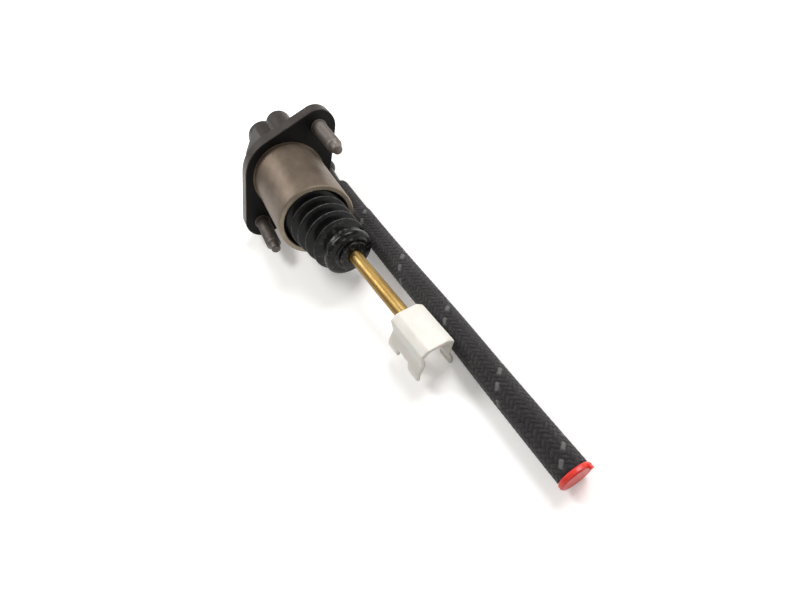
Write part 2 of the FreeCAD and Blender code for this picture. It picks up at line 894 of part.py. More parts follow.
def make_pushrod():
    """The plated pushrod: a ball in the plunger, a groove for the boot and a smaller ball in the pedal clip."""
    body = new_body("pushrod")
    neck = given.rod_neck_radius
    ball_neck = chord(given.ball_radius, neck)
    tip_neck = given.rod_length - chord(given.tip_ball_radius, neck)
    groove_front = (given.boot_reach - ball_x) - given.rod_fit
    groove_rear = groove_front - given.rod_groove_width
    revolve(
        body,
        "pushrod_turned",
        [
            (-given.ball_radius, 0),
            (ball_neck, neck),
            (ball_neck + given.rod_neck_length, neck),
            (ball_neck + given.rod_neck_length + given.rod_chamfer, given.rod_radius),
            (groove_rear, given.rod_radius),
            (groove_rear, given.rod_groove_radius),
            (groove_front, given.rod_groove_radius),
            (groove_front, given.rod_radius),
            (tip_neck - given.rod_neck_length - given.rod_chamfer, given.rod_radius),
            (tip_neck - given.rod_neck_length, neck),
            (tip_neck, neck),
            (given.rod_length + given.tip_ball_radius, 0),
        ],
        arcs={0: 0, 10: given.rod_length},
    )
    body.Placement = rod_placement(ball_centre)
    return body


def rod_placement(base, roll=0.0):
    """Local X along the leaning pushrod, rolled about it by this many degrees from upright."""
    rotation = FreeCAD.Rotation(rod_direction, FreeCAD.Vector(), Z_AXIS, "XZY")
    return FreeCAD.Placement(base, rotation * FreeCAD.Rotation(X_AXIS, roll))


# The bulb at the boot's front: how far along it each ring stands, and the share of its radius there
BULB_OUTLINE = [(0.09, 0.94), (0.22, 0.99), (0.40, 1.0), (0.57, 0.955), (0.68, 0.84), (0.73, 0.70)]
BULB_MIDDLE = 0.31


def make_boot():
    """The rubber bellows: its bead sits in the barrel's groove, and its neck grips the pushrod."""
    reach = DRIVING["boot_reach"]
    wall = DRIVING["boot_wall"]
    bore = DRIVING["rod_radius"] + DRIVING["rod_fit"]
    bead_x = number_of((bead_rear + bead_front) / 2)
    folds_start = bead_x + DRIVING["skirt_length"]
    folds_end = reach - DRIVING["bulb_length"]
    fold_pitch = (folds_end - folds_start) / FOLDS
    straight_end = DRIVING["barrel_reach"] - DRIVING["boot_straight_inset"]
    neck_rear = reach - DRIVING["boot_neck_length"]
    collar_rear = reach - DRIVING["boot_collar_length"]
    bulb_x = folds_end + DRIVING["bulb_length"] * BULB_MIDDLE
    bulb_front = folds_end + DRIVING["bulb_length"] * BULB_OUTLINE[-1][0]
    bulb_centre = rod_line(bulb_x) - point(0, DRIVING["bulb_sag_y"], DRIVING["bulb_sag_z"])
    bulb_direction = FreeCAD.Rotation(Z_AXIS, DRIVING["bulb_turn"]).multVec(rod_direction)

    def centre_and_direction(x):
        """The boot runs straight inside the barrel, sags to its bulb and then meets the pushrod."""
        if x <= straight_end:
            return point(x, 0, 0), X_AXIS
        if x <= bulb_x:
            share = (x - straight_end) / (bulb_x - straight_end)
            centre = point(straight_end, 0, 0) * (1 - share) + bulb_centre * share
            return centre, (X_AXIS * (1 - share) + bulb_direction * share).normalize()
        share = (x - bulb_x) / (neck_rear - bulb_x)
        centre = bulb_centre * (1 - share) + rod_line(neck_rear) * share
        return centre, (bulb_direction * (1 - share) + rod_direction * share).normalize()

    skirt_radius = DRIVING["barrel_bore_radius"] - DRIVING["skirt_clearance"]
    outline = [(bead_x, skirt_radius), (bead_x + wall, skirt_radius)]
    for i in range(FOLDS * RINGS_A_FOLD + 1):
        x = folds_start + fold_pitch * i / RINGS_A_FOLD
        crest = DRIVING["barrel_bore_radius"] - DRIVING["fold_clearance"]
        crest -= DRIVING["fold_taper"] * max(0.0, x - DRIVING["barrel_reach"])
        height = ((1 - math.cos(2 * math.pi * i / RINGS_A_FOLD)) / 2) ** FOLD_SHARPNESS
        outline.append((x, crest - DRIVING["fold_depth"] * (1 - height)))
    for share, size in BULB_OUTLINE:
        outline.append((folds_end + DRIVING["bulb_length"] * share, DRIVING["bulb_radius"] * size))

    def bellows(lowering):
        """Rings from the bead to the front of the bulb, brought in by this much on every side."""
        rings = []
        for x, radius in outline:
            set_back = lowering * max(0.0, x - bulb_x) / (bulb_front - bulb_x)
            centre, direction = centre_and_direction(x - set_back)
            ring = Part.Wire(Part.makeCircle(max(radius - lowering, bore)))
            ring.Placement = facing(direction, centre, sideways=Y_AXIS)
            rings.append(ring)
        return Part.makeLoft(rings, True, True)

    def about_bore(radius, rear, front):
        return Part.makeCylinder(radius, front - rear, FreeCAD.Vector(rear, 0, 0), X_AXIS)

    def about_rod(radius, rear, front):
        base = rod_line(rear)
        return Part.makeCylinder(radius, rod_line(front).distanceToPoint(base), base, rod_direction)

    bead_radius = DRIVING["barrel_bore_radius"] + DRIVING["bead_height"]
    outside = bellows(0.0).multiFuse(
        [
            about_bore(bead_radius, number_of(bead_rear), number_of(bead_front)),
            about_rod(DRIVING["boot_neck_radius"], neck_rear - wall, reach),
            about_rod(DRIVING["boot_collar_radius"], collar_rear, reach - DRIVING["boot_collar_inset"]),
        ]
    )
    hollow = bellows(wall).multiFuse(
        [
            about_bore(skirt_radius - wall, number_of(bead_rear) - CUT_MARGIN, bead_x + wall),
            about_rod(bore, neck_rear - DRIVING["boot_neck_length"], reach + CUT_MARGIN),
        ]
    )
    boot = doc.addObject("Part::Feature", "boot")
    boot.Shape = outside.cut(hollow)
    boot.Placement = FreeCAD.Placement()
    return boot


def make_pedal_clip():
    """The moulded nylon clip: a saddle with a snap socket for the rod's ball and two sprung legs for the pedal."""
    body = new_body("pedal_clip")
    wall = given.clip_wall
    half = given.clip_half_width
    waist = given.clip_waist
    foot = given.clip_foot
    crown = half - given.clip_top / 2
    right = [
        (crown, given.clip_top),
        (half, given.clip_shoulder),
        (waist, -given.clip_waist_drop),
        (foot, -given.clip_foot_drop),
        (foot, -given.clip_leg_drop),
        (foot - wall, -given.clip_leg_drop),
        (foot - wall, -given.clip_foot_drop),
        (waist - wall, -given.clip_waist_drop),
        (half - wall, given.clip_shoulder - wall),
        (crown - wall / 2, given.clip_top - wall),
    ]
    left = [(-y, z) for y, z in reversed(right)]
    saddle = new_sketch(body, "saddle_outline", facing(X_AXIS, point(-given.clip_length / 2, 0, 0), sideways=Y_AXIS))
    draw_outline(saddle, right + left)
    extrude(body, "saddle", saddle, given.clip_length)
    boss = new_sketch(body, "boss_outline", facing(-Z_AXIS, point(0, 0, given.clip_top - wall / 2)))
    draw_circle(boss, given.clip_boss_radius)
    extrude(body, "socket_boss", boss, given.clip_top - wall / 2 + given.clip_boss_drop)
    ball = given.tip_ball_radius + given.clip_ball_clearance
    revolve(body, "ball_pocket", [(-ball, 0), (ball, 0)], arcs={0: 0}, cut=True)
    mouth = new_sketch(body, "mouth_outline", facing(Z_AXIS, point(0, 0, -given.clip_boss_drop)))
    draw_circle(mouth, given.clip_mouth_radius)
    extrude(body, "snap_mouth", mouth, given.clip_boss_drop, cut=True, backwards=True)
    slot_half = given.rod_neck_radius + given.clip_slot_clearance
    slot = new_sketch(body, "slot_outline", facing(X_AXIS, point(0, 0, 0), sideways=Y_AXIS))
    draw_outline(
        slot,
        [
            (-slot_half, -given.clip_boss_drop - CUT_MARGIN),
            (slot_half, -given.clip_boss_drop - CUT_MARGIN),
            (slot_half, slot_half),
            (-slot_half, slot_half),
        ],
    )
    extrude(body, "rod_slot", slot, given.clip_length / 2, cut=True)
    notch = new_sketch(body, "notch_outline", facing(Y_AXIS, sideways=X_AXIS))
    draw_outline(
        notch,
        [
            (-given.clip_notch_width / 2, given.clip_leg_drop - given.clip_notch_height),
            (given.clip_notch_width / 2, given.clip_leg_drop - given.clip_notch_height),
            (given.clip_notch_width / 2, given.clip_leg_drop + CUT_MARGIN),
            (-given.clip_notch_width / 2, given.clip_leg_drop + CUT_MARGIN),
        ],
    )
    cut = extrude(body, "leg_notches", notch, given.clip_foot * 2, cut=True)
    cut.Midplane = True
    body.Placement = rod_placement(tip_centre, -DRIVING["clip_roll"])
    return body


# Where the connector's stem meets its neck, beside the flange and level with the hose
elbow_centre = point(-given.inlet_x, given.elbow_axis_y, hose_z)

# The hose's centre line, point by point from the connector to the plug
HOSE_ROUTE = [
    (13.0, 24.7),
    (56.0, 24.9),
    (107.5, 26.4),
    (157.5, 28.7),
    (205.7, 29.6),
    (251.4, 31.3),
]
hose_points = [FreeCAD.Vector(x, y, hose_z) for x, y in HOSE_ROUTE]
hose_points[-1].z = floor_z + DRIVING["plug_radius"]
hose_start = hose_points[0]
hose_finish = hose_points[-1]
hose_finish_direction = (hose_points[-1] - hose_points[-2]).normalize()
neck_direction = (hose_start - elbow_centre).normalize()


def hose_path():
    """Straight runs joined by arcs as large as the runs allow."""
    edges = []
    last = hose_points[0]
    for before, corner, after in zip(hose_points, hose_points[1:], hose_points[2:]):
        back = (before - corner).normalize()
        ahead = (after - corner).normalize()
        half_turn = (math.pi - back.getAngle(ahead)) / 2
        trim = ARC_SHARE * min(corner.distanceToPoint(before), corner.distanceToPoint(after))
        radius = trim / math.tan(half_turn)
        print(f"hose arc radius {radius:.0f} mm")
        entry = corner + back * trim
        leave = corner + ahead * trim
        bisector = (back + ahead).normalize()
        centre = corner + bisector * (radius / math.cos(half_turn))
        middle = centre - bisector * radius
        edges.append(Part.LineSegment(last, entry).toShape())
        edges.append(Part.Arc(entry, middle, leave).toShape())
        last = leave
    edges.append(Part.LineSegment(last, hose_points[-1]).toShape())
    return Part.Wire(edges)


def make_feed_hose():
    """The braided feed hose, pushed over the connector's barb and lying on the same surface as the flange."""
    path = hose_path()
    first_direction = (hose_points[1] - hose_points[0]).normalize()

    def pipe(radius):
        ring = Part.Wire(Part.makeCircle(radius, hose_start, first_direction))
        return path.makePipeShell([ring], True, False)

    hose = doc.addObject("Part::Feature", "feed_hose")
    hose.Shape = pipe(DRIVING["hose_radius"]).cut(pipe(DRIVING["hose_bore_radius"]))
    hose.Placement = FreeCAD.Placement()
    section = math.pi * (DRIVING["hose_radius"] ** 2 - DRIVING["hose_bore_radius"] ** 2)
    print(f"hose length {path.Length:.1f} mm, volume ratio {hose.Shape.Volume / (section * path.Length):.4f}")
    return hose


def make_hose_plug():
    """The red transit plug: a thin flange with a short hollow stem in the hose's bore, and a small pull tab."""
    body = new_body("hose_plug")
    edge = given.plug_edge
    stem = given.hose_bore_radius - given.plug_stem_clearance
    revolve(
        body,
        "plug_turned",
        [
            (-given.plug_stem_length, stem - given.plug_stem_wall),
            (-given.plug_stem_length, stem),
            (given.plug_gap, stem),
            (given.plug_gap, given.plug_radius - edge),
            (given.plug_gap + edge, given.plug_radius),
            (given.plug_thickness - edge, given.plug_radius),
            (given.plug_thickness, given.plug_radius - edge),
            (given.plug_thickness, 0),
            (edge, 0),
            (edge, stem - given.plug_stem_wall),
        ],
    )
    tab = new_sketch(body, "tab_outline", facing(X_AXIS, point(given.plug_thickness / 2, 0, 0), sideways=Y_AXIS))
    draw_circle(tab, given.plug_tab_radius, given.plug_tab_y, given.plug_tab_z)
    extrude(body, "pull_tab", tab, given.plug_thickness / 2 + given.plug_tab_radius)
    rotation = FreeCAD.Rotation(hose_finish_direction, FreeCAD.Vector(), Z_AXIS, "XZY")
    body.Placement = FreeCAD.Placement(hose_finish, rotation)
    return body


def make_hose_elbow():
    """The moulded connector: a stem held in the inlet by the pin, a rounded corner, a neck and a barb."""
    port = point(-given.inlet_x, 0, 0)
    floor = given.inlet_floor
    top = given.inlet_reach
    stem_end = elbow_centre.dot(inlet)
    groove_rear = top - given.pin_drop - given.stem_groove_width / 2
    groove_front = top - given.pin_drop + given.stem_groove_width / 2
    collar_rear = floor + given.grommet_length
    stem_base = port + inlet * number_of(floor + given.stem_gap)
    neck_length = elbow_centre.distanceToPoint(hose_start) + DRIVING["barb_length"]
    pieces = [
        cylinder("stem", given.stem_radius, stem_end - number_of(floor), stem_base, inlet),
        cylinder(
            "stem_collar",
            given.stem_collar_radius,
            groove_rear - collar_rear,
            port + inlet * number_of(collar_rear),
            inlet,
        ),
        cylinder(
            "stem_groove",
            given.stem_groove_radius,
            given.stem_groove_width,
            port + inlet * number_of(groove_rear),
            inlet,
        ),
        cylinder(
            "stem_body",
            given.stem_collar_radius,
            stem_end - number_of(groove_front),
            port + inlet * number_of(groove_front),
            inlet,
        ),
        cylinder("neck", given.neck_radius, neck_length, elbow_centre, neck_direction),
    ]
    corner = doc.addObject("Part::Sphere", "elbow_corner")
    bind(corner, Radius=given.elbow_radius)
    corner.Placement = FreeCAD.Placement(elbow_centre, FreeCAD.Rotation())
    pieces.append(corner)
    ridge = DRIVING["barb_length"] / BARBS
    for i in range(BARBS):
        barb = doc.addObject("Part::Cone", f"barb_{i}")
        bind(barb, Radius1=given.barb_radius, Radius2=given.neck_radius, Height=given.barb_length / BARBS)
        barb.Placement = facing(neck_direction, hose_start + neck_direction * (i * ridge))
        pieces.append(barb)
    solid = fused("elbow_solid", pieces)
    passages = fused(
        "elbow_passages",
        [
            cylinder("stem_passage", given.passage_radius, stem_end, port, inlet),
            cylinder(
                "neck_passage", given.passage_radius, neck_length + CUT_MARGIN, elbow_centre, neck_direction
            ),
        ],
    )
    return cut_from("hose_elbow", solid, passages)


def make_port_grommet():
    """The rubber ring that seals the connector's stem at the bottom of the inlet."""
    body = new_body("port_grommet")
    sketch = new_sketch(body, "grommet_outline")
    draw_circle(sketch, given.inlet_bore_radius)
    draw_circle(sketch, given.stem_radius)
    extrude(body, "grommet_ring", sketch, given.grommet_length)
    body.Placement = facing(inlet, point(-given.inlet_x, 0, 0) + inlet * DRIVING["inlet_floor"])
    return body


def make_connector_pin():
    """The roll pin driven in from behind, through the boss and the stem's groove."""
    base = (
        inlet * (DRIVING["inlet_reach"] - DRIVING["pin_drop"])
        + inlet_sideways * DRIVING["pin_inset"]
        + point(flange_rear, 0, 0)
    )
    length = given.inlet_x - given.flange_thickness + given.inlet_boss_radius
    outer = cylinder("pin_outside", given.pin_radius, length, base, -X_AXIS)
    inner = cylinder("pin_inside", given.pin_bore_radius, length, base, -X_AXIS)
    return cut_from("connector_pin", outer, inner)


sub_parts = [
    make_cylinder_body(),
    make_barrel(),
    make_stud("stud_upper", 1),
    make_stud("stud_lower", -1),
    make_seal("primary_seal", stack_rear),
    make_feed_ring(),
    make_seal("secondary_seal", second_seal_rear),
    make_guide_bush(),
    make_stop_washer(),
    make_circlip(),
    make_plunger(),
    make_retainer(),
    make_spring_seat(),
    make_return_spring(),
    make_pushrod(),
    make_boot(),
    make_pedal_clip(),
    make_hose_elbow(),
    make_port_grommet(),
    make_connector_pin(),
    make_feed_hose(),
    make_hose_plug(),
]
doc.recompute()

failed = [o.Label for o in doc.Objects if {"Invalid", "Error"} & set(o.State)]
if failed:
    raise RuntimeError(f"these objects did not recompute: {failed}")
for sub_part in sub_parts:
    shape = sub_part.Shape
    if shape.isNull() or not shape.isValid() or not shape.Solids:
        raise RuntimeError(f"{sub_part.Label} has no valid solid")
for sub_part in sub_parts:
    sub_part.Shape.exportStep(f"parts/{sub_part.Label}.step")
    box = sub_part.Shape.optimalBoundingBox()
    print(
        f"{sub_part.Label}: {len(sub_part.Shape.Solids)} solid, {sub_part.Shape.Volume:.0f} mm3, "
        f"x {box.XMin:.1f}..{box.XMax:.1f}, y {box.YMin:.1f}..{box.YMax:.1f}, z {box.ZMin:.1f}..{box.ZMax:.1f}"
    )
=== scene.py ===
import math

import bpy
import numpy as np
from mathutils import Matrix, Vector


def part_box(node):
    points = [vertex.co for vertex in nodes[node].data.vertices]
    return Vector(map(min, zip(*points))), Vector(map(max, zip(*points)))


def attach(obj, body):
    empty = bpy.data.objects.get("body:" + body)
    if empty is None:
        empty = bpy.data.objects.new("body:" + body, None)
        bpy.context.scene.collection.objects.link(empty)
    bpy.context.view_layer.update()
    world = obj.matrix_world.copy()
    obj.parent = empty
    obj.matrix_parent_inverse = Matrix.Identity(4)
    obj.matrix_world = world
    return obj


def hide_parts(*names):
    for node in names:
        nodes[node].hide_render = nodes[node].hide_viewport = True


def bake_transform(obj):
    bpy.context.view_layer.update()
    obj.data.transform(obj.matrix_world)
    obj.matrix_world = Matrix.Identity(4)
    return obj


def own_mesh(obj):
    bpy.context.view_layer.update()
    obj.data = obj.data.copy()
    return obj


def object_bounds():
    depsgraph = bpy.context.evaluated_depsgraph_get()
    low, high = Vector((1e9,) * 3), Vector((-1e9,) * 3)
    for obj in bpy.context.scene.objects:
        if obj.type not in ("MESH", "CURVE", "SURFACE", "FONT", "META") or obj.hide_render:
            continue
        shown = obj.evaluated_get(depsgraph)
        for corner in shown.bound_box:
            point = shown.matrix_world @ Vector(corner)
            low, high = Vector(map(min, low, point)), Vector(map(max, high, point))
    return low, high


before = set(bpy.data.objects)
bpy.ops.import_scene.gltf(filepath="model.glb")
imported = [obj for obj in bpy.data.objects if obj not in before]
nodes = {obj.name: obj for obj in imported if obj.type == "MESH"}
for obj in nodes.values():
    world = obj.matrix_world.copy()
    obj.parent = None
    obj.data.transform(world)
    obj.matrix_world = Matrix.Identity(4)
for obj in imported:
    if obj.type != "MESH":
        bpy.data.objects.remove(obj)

cad_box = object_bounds()

# The picture: the part lies on a white table, seen from above and in front of the pedal end. Soft light falls
# from the side where the hose lies and from behind the casting, and further out the table goes to plain white.
CAMERA_PLACE = (0.28464, 0.01068, 0.18163)
CAMERA_RIGHT = Vector((0.45544, 0.82495, -0.33471))
CAMERA_UP = Vector((-0.65041, 0.56505, 0.50763))
CAMERA_BACK = Vector((0.60790, -0.01349, 0.79390))
TABLE_HEIGHT = cad_box[0][2]
TABLE_SPAN = 6.0
TABLE_GLOW = 0.26
GLOW_MIDDLE = (0.1, 0.0, 0.0)
GLOW_GROWS_FROM = 0.16
GLOW_FULL_AT = 0.42
LIT_POINT = (0.08, 0.0, -0.02)

camera_data = bpy.data.cameras.new("camera")
camera_data.sensor_width = 36.0
camera_data.lens = 20.25
camera_data.clip_start = 0.01
camera = bpy.data.objects.new("camera", camera_data)
turn = Matrix((CAMERA_RIGHT, CAMERA_UP, CAMERA_BACK)).transposed().to_4x4()
camera.matrix_world = Matrix.Translation(CAMERA_PLACE) @ turn
bpy.context.scene.collection.objects.link(camera)
bpy.context.scene.camera = camera
bpy.context.scene.view_settings.view_transform = "Standard"


def principled(name, colour, roughness, metallic=0.0):
    """A new material whose plain values are set on the shader itself."""
    material = bpy.data.materials.new(name)
    material.use_nodes = True
    shader = material.node_tree.nodes["Principled BSDF"]
    shader.inputs["Base Color"].default_value = (*colour, 1.0)
    shader.inputs["Roughness"].default_value = roughness
    shader.inputs["Metallic"].default_value = metallic
    return material, shader


def add_node(material, kind, **values):
    """Adds a node; a value whose name is one of its sockets is set there, any other on the node itself."""
    node = material.node_tree.nodes.new(kind)
    for name, value in values.items():
        socket = node.inputs.get(name.replace("_", " ").title())
        if socket is not None and not hasattr(node, name):
            socket.default_value = value
        else:
            setattr(node, name, value)
    return node


def join(material, source, output, target, socket):
    material.node_tree.links.new(source.outputs[output], target.inputs[socket])


def place_on_piece(material, stretch=(1.0, 1.0, 1.0)):
    """The piece's own coordinates, in metres, stretched along the row's axes."""
    coordinates = add_node(material, "ShaderNodeTexCoord")
    mapping = add_node(material, "ShaderNodeMapping")
    mapping.inputs["Scale"].default_value = stretch
    join(material, coordinates, "Object", mapping, "Vector")
    return mapping


def mesh_object(name, vertices, faces, smooth=True):
    mesh = bpy.data.meshes.new(name)
    mesh.from_pydata([tuple(v) for v in vertices], [], faces)
    mesh.validate()
    mesh.update()
    if smooth:
        mesh.shade_smooth()
    thing = bpy.data.objects.new(name, mesh)
    bpy.context.scene.collection.objects.link(thing)
    return thing


table_material, table_shader = principled("white_table", (0.93, 0.925, 0.92), 0.7)
table_shader.inputs["Specular IOR Level"].default_value = 0.1
table_shader.inputs["Emission Color"].default_value = (1.0, 0.985, 0.96, 1.0)
from_part = add_node(table_material, "ShaderNodeVectorMath", operation="DISTANCE")
from_part.inputs[1].default_value = GLOW_MIDDLE
join(table_material, place_on_piece(table_material), "Vector", from_part, 0)
glow_by_distance = add_node(table_material, "ShaderNodeMapRange")
glow_by_distance.inputs["From Min"].default_value = GLOW_GROWS_FROM
glow_by_distance.inputs["From Max"].default_value = GLOW_FULL_AT
glow_by_distance.inputs["To Min"].default_value = TABLE_GLOW
glow_by_distance.inputs["To Max"].default_value = 1.0
join(table_material, from_part, "Value", glow_by_distance, "Value")
light_path = add_node(table_material, "ShaderNodeLightPath")
seen_or_mirrored = add_node(table_material, "ShaderNodeMath", operation="ADD")
join(table_material, light_path, "Is Camera Ray", seen_or_mirrored, 0)
join(table_material, light_path, "Is Glossy Ray", seen_or_mirrored, 1)
seen_at_all = add_node(table_material, "ShaderNodeMath", operation="ADD")
seen_at_all.use_clamp = True
join(table_material, seen_or_mirrored, "Value", seen_at_all, 0)
join(table_material, light_path, "Is Transmission Ray", seen_at_all, 1)
table_glow = add_node(table_material, "ShaderNodeMath", operation="MULTIPLY")
join(table_material, seen_at_all, "Value", table_glow, 0)
join(table_material, glow_by_distance, "Result", table_glow, 1)
join(table_material, table_glow, "Value", table_shader, "Emission Strength")
half = TABLE_SPAN / 2
table_corners = [(x, y, TABLE_HEIGHT) for x, y in ((-half, -half), (half, -half), (half, half), (-half, half))]
table = mesh_object("table", table_corners, [(0, 1, 2, 3)], smooth=False)
table.data.materials.append(table_material)

world = bpy.data.worlds.new("studio")
world.use_nodes = True
world.node_tree.nodes["Background"].inputs["Color"].default_value = (1.0, 0.965, 0.92, 1.0)
world.node_tree.nodes["Background"].inputs["Strength"].default_value = 0.34
bpy.context.scene.world = world


def soft_lamp(name, place, size, power):
    """A round lamp that shines on the part."""
    data = bpy.data.lights.new(name, "AREA")
    data.shape = "DISK"
    data.size = size
    data.energy = power
    lamp = bpy.data.objects.new(name, data)
    lamp.location = place
    lamp.rotation_euler = (Vector(LIT_POINT) - Vector(place)).to_track_quat("-Z", "Y").to_euler()
    bpy.context.scene.collection.objects.link(lamp)


soft_lamp("hose_side", (-0.15, 0.85, 1.0), 0.65, 14.0)
soft_lamp("behind_casting", (-0.75, -0.35, 1.0), 0.5, 9.0)

# The feed hose: a rubber tube under a tight braid of black textile, sixteen strands each way, two over and
# two under. One strand is grey, and shows as a stitch wherever it comes over. It is cut square and pushed on
# a barb, over which it is squeezed a little slimmer.
HOSE_ROUTE = [
    (0.0130, 0.0247, -0.0226),
    (0.0560, 0.0249, -0.0226),
    (0.1075, 0.0264, -0.0226),
    (0.1575, 0.0287, -0.0226),
    (0.2057, 0.0296, -0.0226),
    (0.2514, 0.0313, -0.02215),
]
HOSE_RADIUS = 0.0077
HOSE_BORE = 0.0046
BRAID_STRANDS = 16
BRAID_HEIGHT = 0.00042
BRAID_PITCH_START = 0.056
BRAID_PITCH_END = 0.040
BRAID_FIRST_TURN = 0.224
STRAND_ROUNDNESS = 0.7
DIP_LEVEL = 0.35
YARN_SHADES = 11
ROUND_STEPS = 128
ROW_STEP = 0.00042
TANGENT_REACH = 0.004
GREY_STRAND = 5
YARN_RIDGES = 4
BARB_SQUEEZE = 0.00060
BARB_REACH = 0.035
BARB_STEP = 0.004
CUT_EDGE = 0.0006
LINING_DEPTH = 0.016
BRAID_COVER = 0.0009
BORE_EDGE = 0.0004
LINING_STEPS = 48

hose_curve = bpy.data.curves.new("hose_line", "CURVE")
hose_curve.dimensions = "3D"
hose_curve.resolution_u = 64
hose_spline = hose_curve.splines.new("NURBS")
hose_spline.points.add(len(HOSE_ROUTE) - 1)
for knot, place in zip(hose_spline.points, HOSE_ROUTE):
    knot.co = (*place, 1.0)
hose_spline.order_u = 3
hose_spline.use_endpoint_u = True
hose_guide = bpy.data.objects.new("hose_line", hose_curve)
hose_line = np.array([v.co for v in bpy.data.meshes.new_from_object(hose_guide).vertices])
bpy.data.objects.remove(hose_guide)
run = np.concatenate([[0.0], np.cumsum(np.linalg.norm(np.diff(hose_line, axis=0), axis=1))])
hose_length = run[-1]


def along_hose(distance):
    """Centre of the hose this far from its start, and the sideways and upward directions there."""
    centre = np.stack([np.interp(distance, run, hose_line[:, k]) for k in range(3)], axis=-1)
    ahead = np.stack([np.interp(distance + TANGENT_REACH, run, hose_line[:, k]) for k in range(3)], axis=-1)
    behind = np.stack([np.interp(distance - TANGENT_REACH, run, hose_line[:, k]) for k in range(3)], axis=-1)
    tangent = ahead - behind
    tangent /= np.linalg.norm(tangent, axis=-1, keepdims=True)
    sideways = np.cross(np.array([0.0, 0.0, 1.0]), tangent)
    sideways /= np.linalg.norm(sideways, axis=-1, keepdims=True)
    upward = np.cross(tangent, sideways)
    return centre, sideways, upward


def grid_faces(rows, steps):
    """Quads between rows of points that each close on themselves."""
    faces = []
    for r in range(rows - 1):
        for s in range(steps):
            after = (s + 1) % steps
            faces.append((r * steps + s, r * steps + after, (r + 1) * steps + after, (r + 1) * steps + s))
    return faces


hose_rows = int(hose_length / ROW_STEP)
distance = np.linspace(0.0, hose_length, hose_rows)[:, None]
angle = np.linspace(0.0, 2 * math.pi, ROUND_STEPS, endpoint=False)[None, :]
tightening = (BRAID_PITCH_START - BRAID_PITCH_END) / hose_length
pitch = BRAID_PITCH_START - tightening * distance
turned_by = BRAID_FIRST_TURN + 2 * math.pi / tightening * np.log(BRAID_PITCH_START / pitch)
strand_spacing = 2 * math.pi / BRAID_STRANDS
with_turn = (angle - turned_by) / strand_spacing
against_turn = (angle + turned_by) / strand_spacing
strand = np.floor(with_turn)
crossing = np.floor(against_turn)
across_strand = with_turn - strand
across_crossing = against_turn - crossing
order = np.mod(strand + crossing, 4)
strand_on_top = order < 2
run_share = np.where(strand_on_top, order + across_crossing, order - 2 + across_strand) / 2
across_top = np.where(strand_on_top, across_strand, across_crossing)
strand_bulge = np.sin(math.pi * across_top) ** STRAND_ROUNDNESS
strand_lift = DIP_LEVEL + (1 - DIP_LEVEL) * np.sin(math.pi * run_share) ** 0.5
braid = strand_bulge * strand_lift
past_barb = np.clip((distance - BARB_REACH) / BARB_STEP, 0, 1)
squeeze = BARB_SQUEEZE * (1 - past_barb * past_barb * (3 - 2 * past_barb))
to_cut = np.minimum(distance, hose_length - distance)
cut_rounding = CUT_EDGE * np.clip(1 - to_cut / CUT_EDGE, 0, 1) ** 2
radius = HOSE_RADIUS - BRAID_HEIGHT * (1 - braid) - squeeze - cut_rounding
centre, sideways, upward = along_hose(distance[:, 0])
skin = (
    centre[:, None, :]
    + radius[..., None] * np.cos(angle)[..., None] * sideways[:, None, :]
    + radius[..., None] * np.sin(angle)[..., None] * upward[:, None, :]
)
hose_vertices = skin.reshape(-1, 3)
hose_faces = grid_faces(hose_rows, ROUND_STEPS)
feed_hose = mesh_object("feed_hose_braid", hose_vertices, [tuple(reversed(f)) for f in hose_faces])
grey = strand_on_top & (np.mod(strand, BRAID_STRANDS) == GREY_STRAND)
# Neighbouring strands come from other spools, so their blacks differ a little
spool = np.where(strand_on_top, strand * 5, crossing * 7 + 3)
for name, values in (
    ("tracer", grey.astype(float)),
    ("yarn_across", across_top),
    ("yarn_height", braid),
    ("strand_shade", np.mod(spool, YARN_SHADES) / YARN_SHADES),
):
    feed_hose.data.attributes.new(name, "FLOAT", "POINT").data.foreach_set(
        "value", values.reshape(-1).astype(np.float32)
    )


def noise_on_piece(material, scale, detail=4.0, roughness=0.55, stretch=(1.0, 1.0, 1.0)):
    mapping = place_on_piece(material, stretch)
    noise = add_node(material, "ShaderNodeTexNoise")
    noise.inputs["Scale"].default_value = scale
    noise.inputs["Detail"].default_value = detail
    noise.inputs["Roughness"].default_value = roughness
    join(material, mapping, "Vector", noise, "Vector")
    return noise


def colour_steps(material, source, output, steps):
    """A colour ramp through these (position, colour) steps, driven by a node's output."""
    ramp = add_node(material, "ShaderNodeValToRGB")
    while len(ramp.color_ramp.elements) < len(steps):
        ramp.color_ramp.elements.new(0.5)
    for element, (position, colour) in zip(ramp.color_ramp.elements, steps):
        element.position = position
        element.color = (*colour, 1.0)
    join(material, source, output, ramp, "Fac")
    return ramp


def paint(material, shader, noise, steps):
    """The colour runs through these (position, colour) steps, following a noise."""
    join(material, colour_steps(material, noise, "Fac", steps), "Color", shader, "Base Color")


def raise_grain(material, shader, source, output, depth, strength=1.0, under=None):
    """A bump of this depth in metres from a node's output, laid over an earlier bump if there is one."""
    bump = add_node(material, "ShaderNodeBump")
    bump.inputs["Strength"].default_value = strength
    bump.inputs["Distance"].default_value = depth
    join(material, source, output, bump, "Height")
    if under is not None:
        join(material, under, "Normal", bump, "Normal")
    join(material, bump, "Normal", shader, "Normal")
    return bump


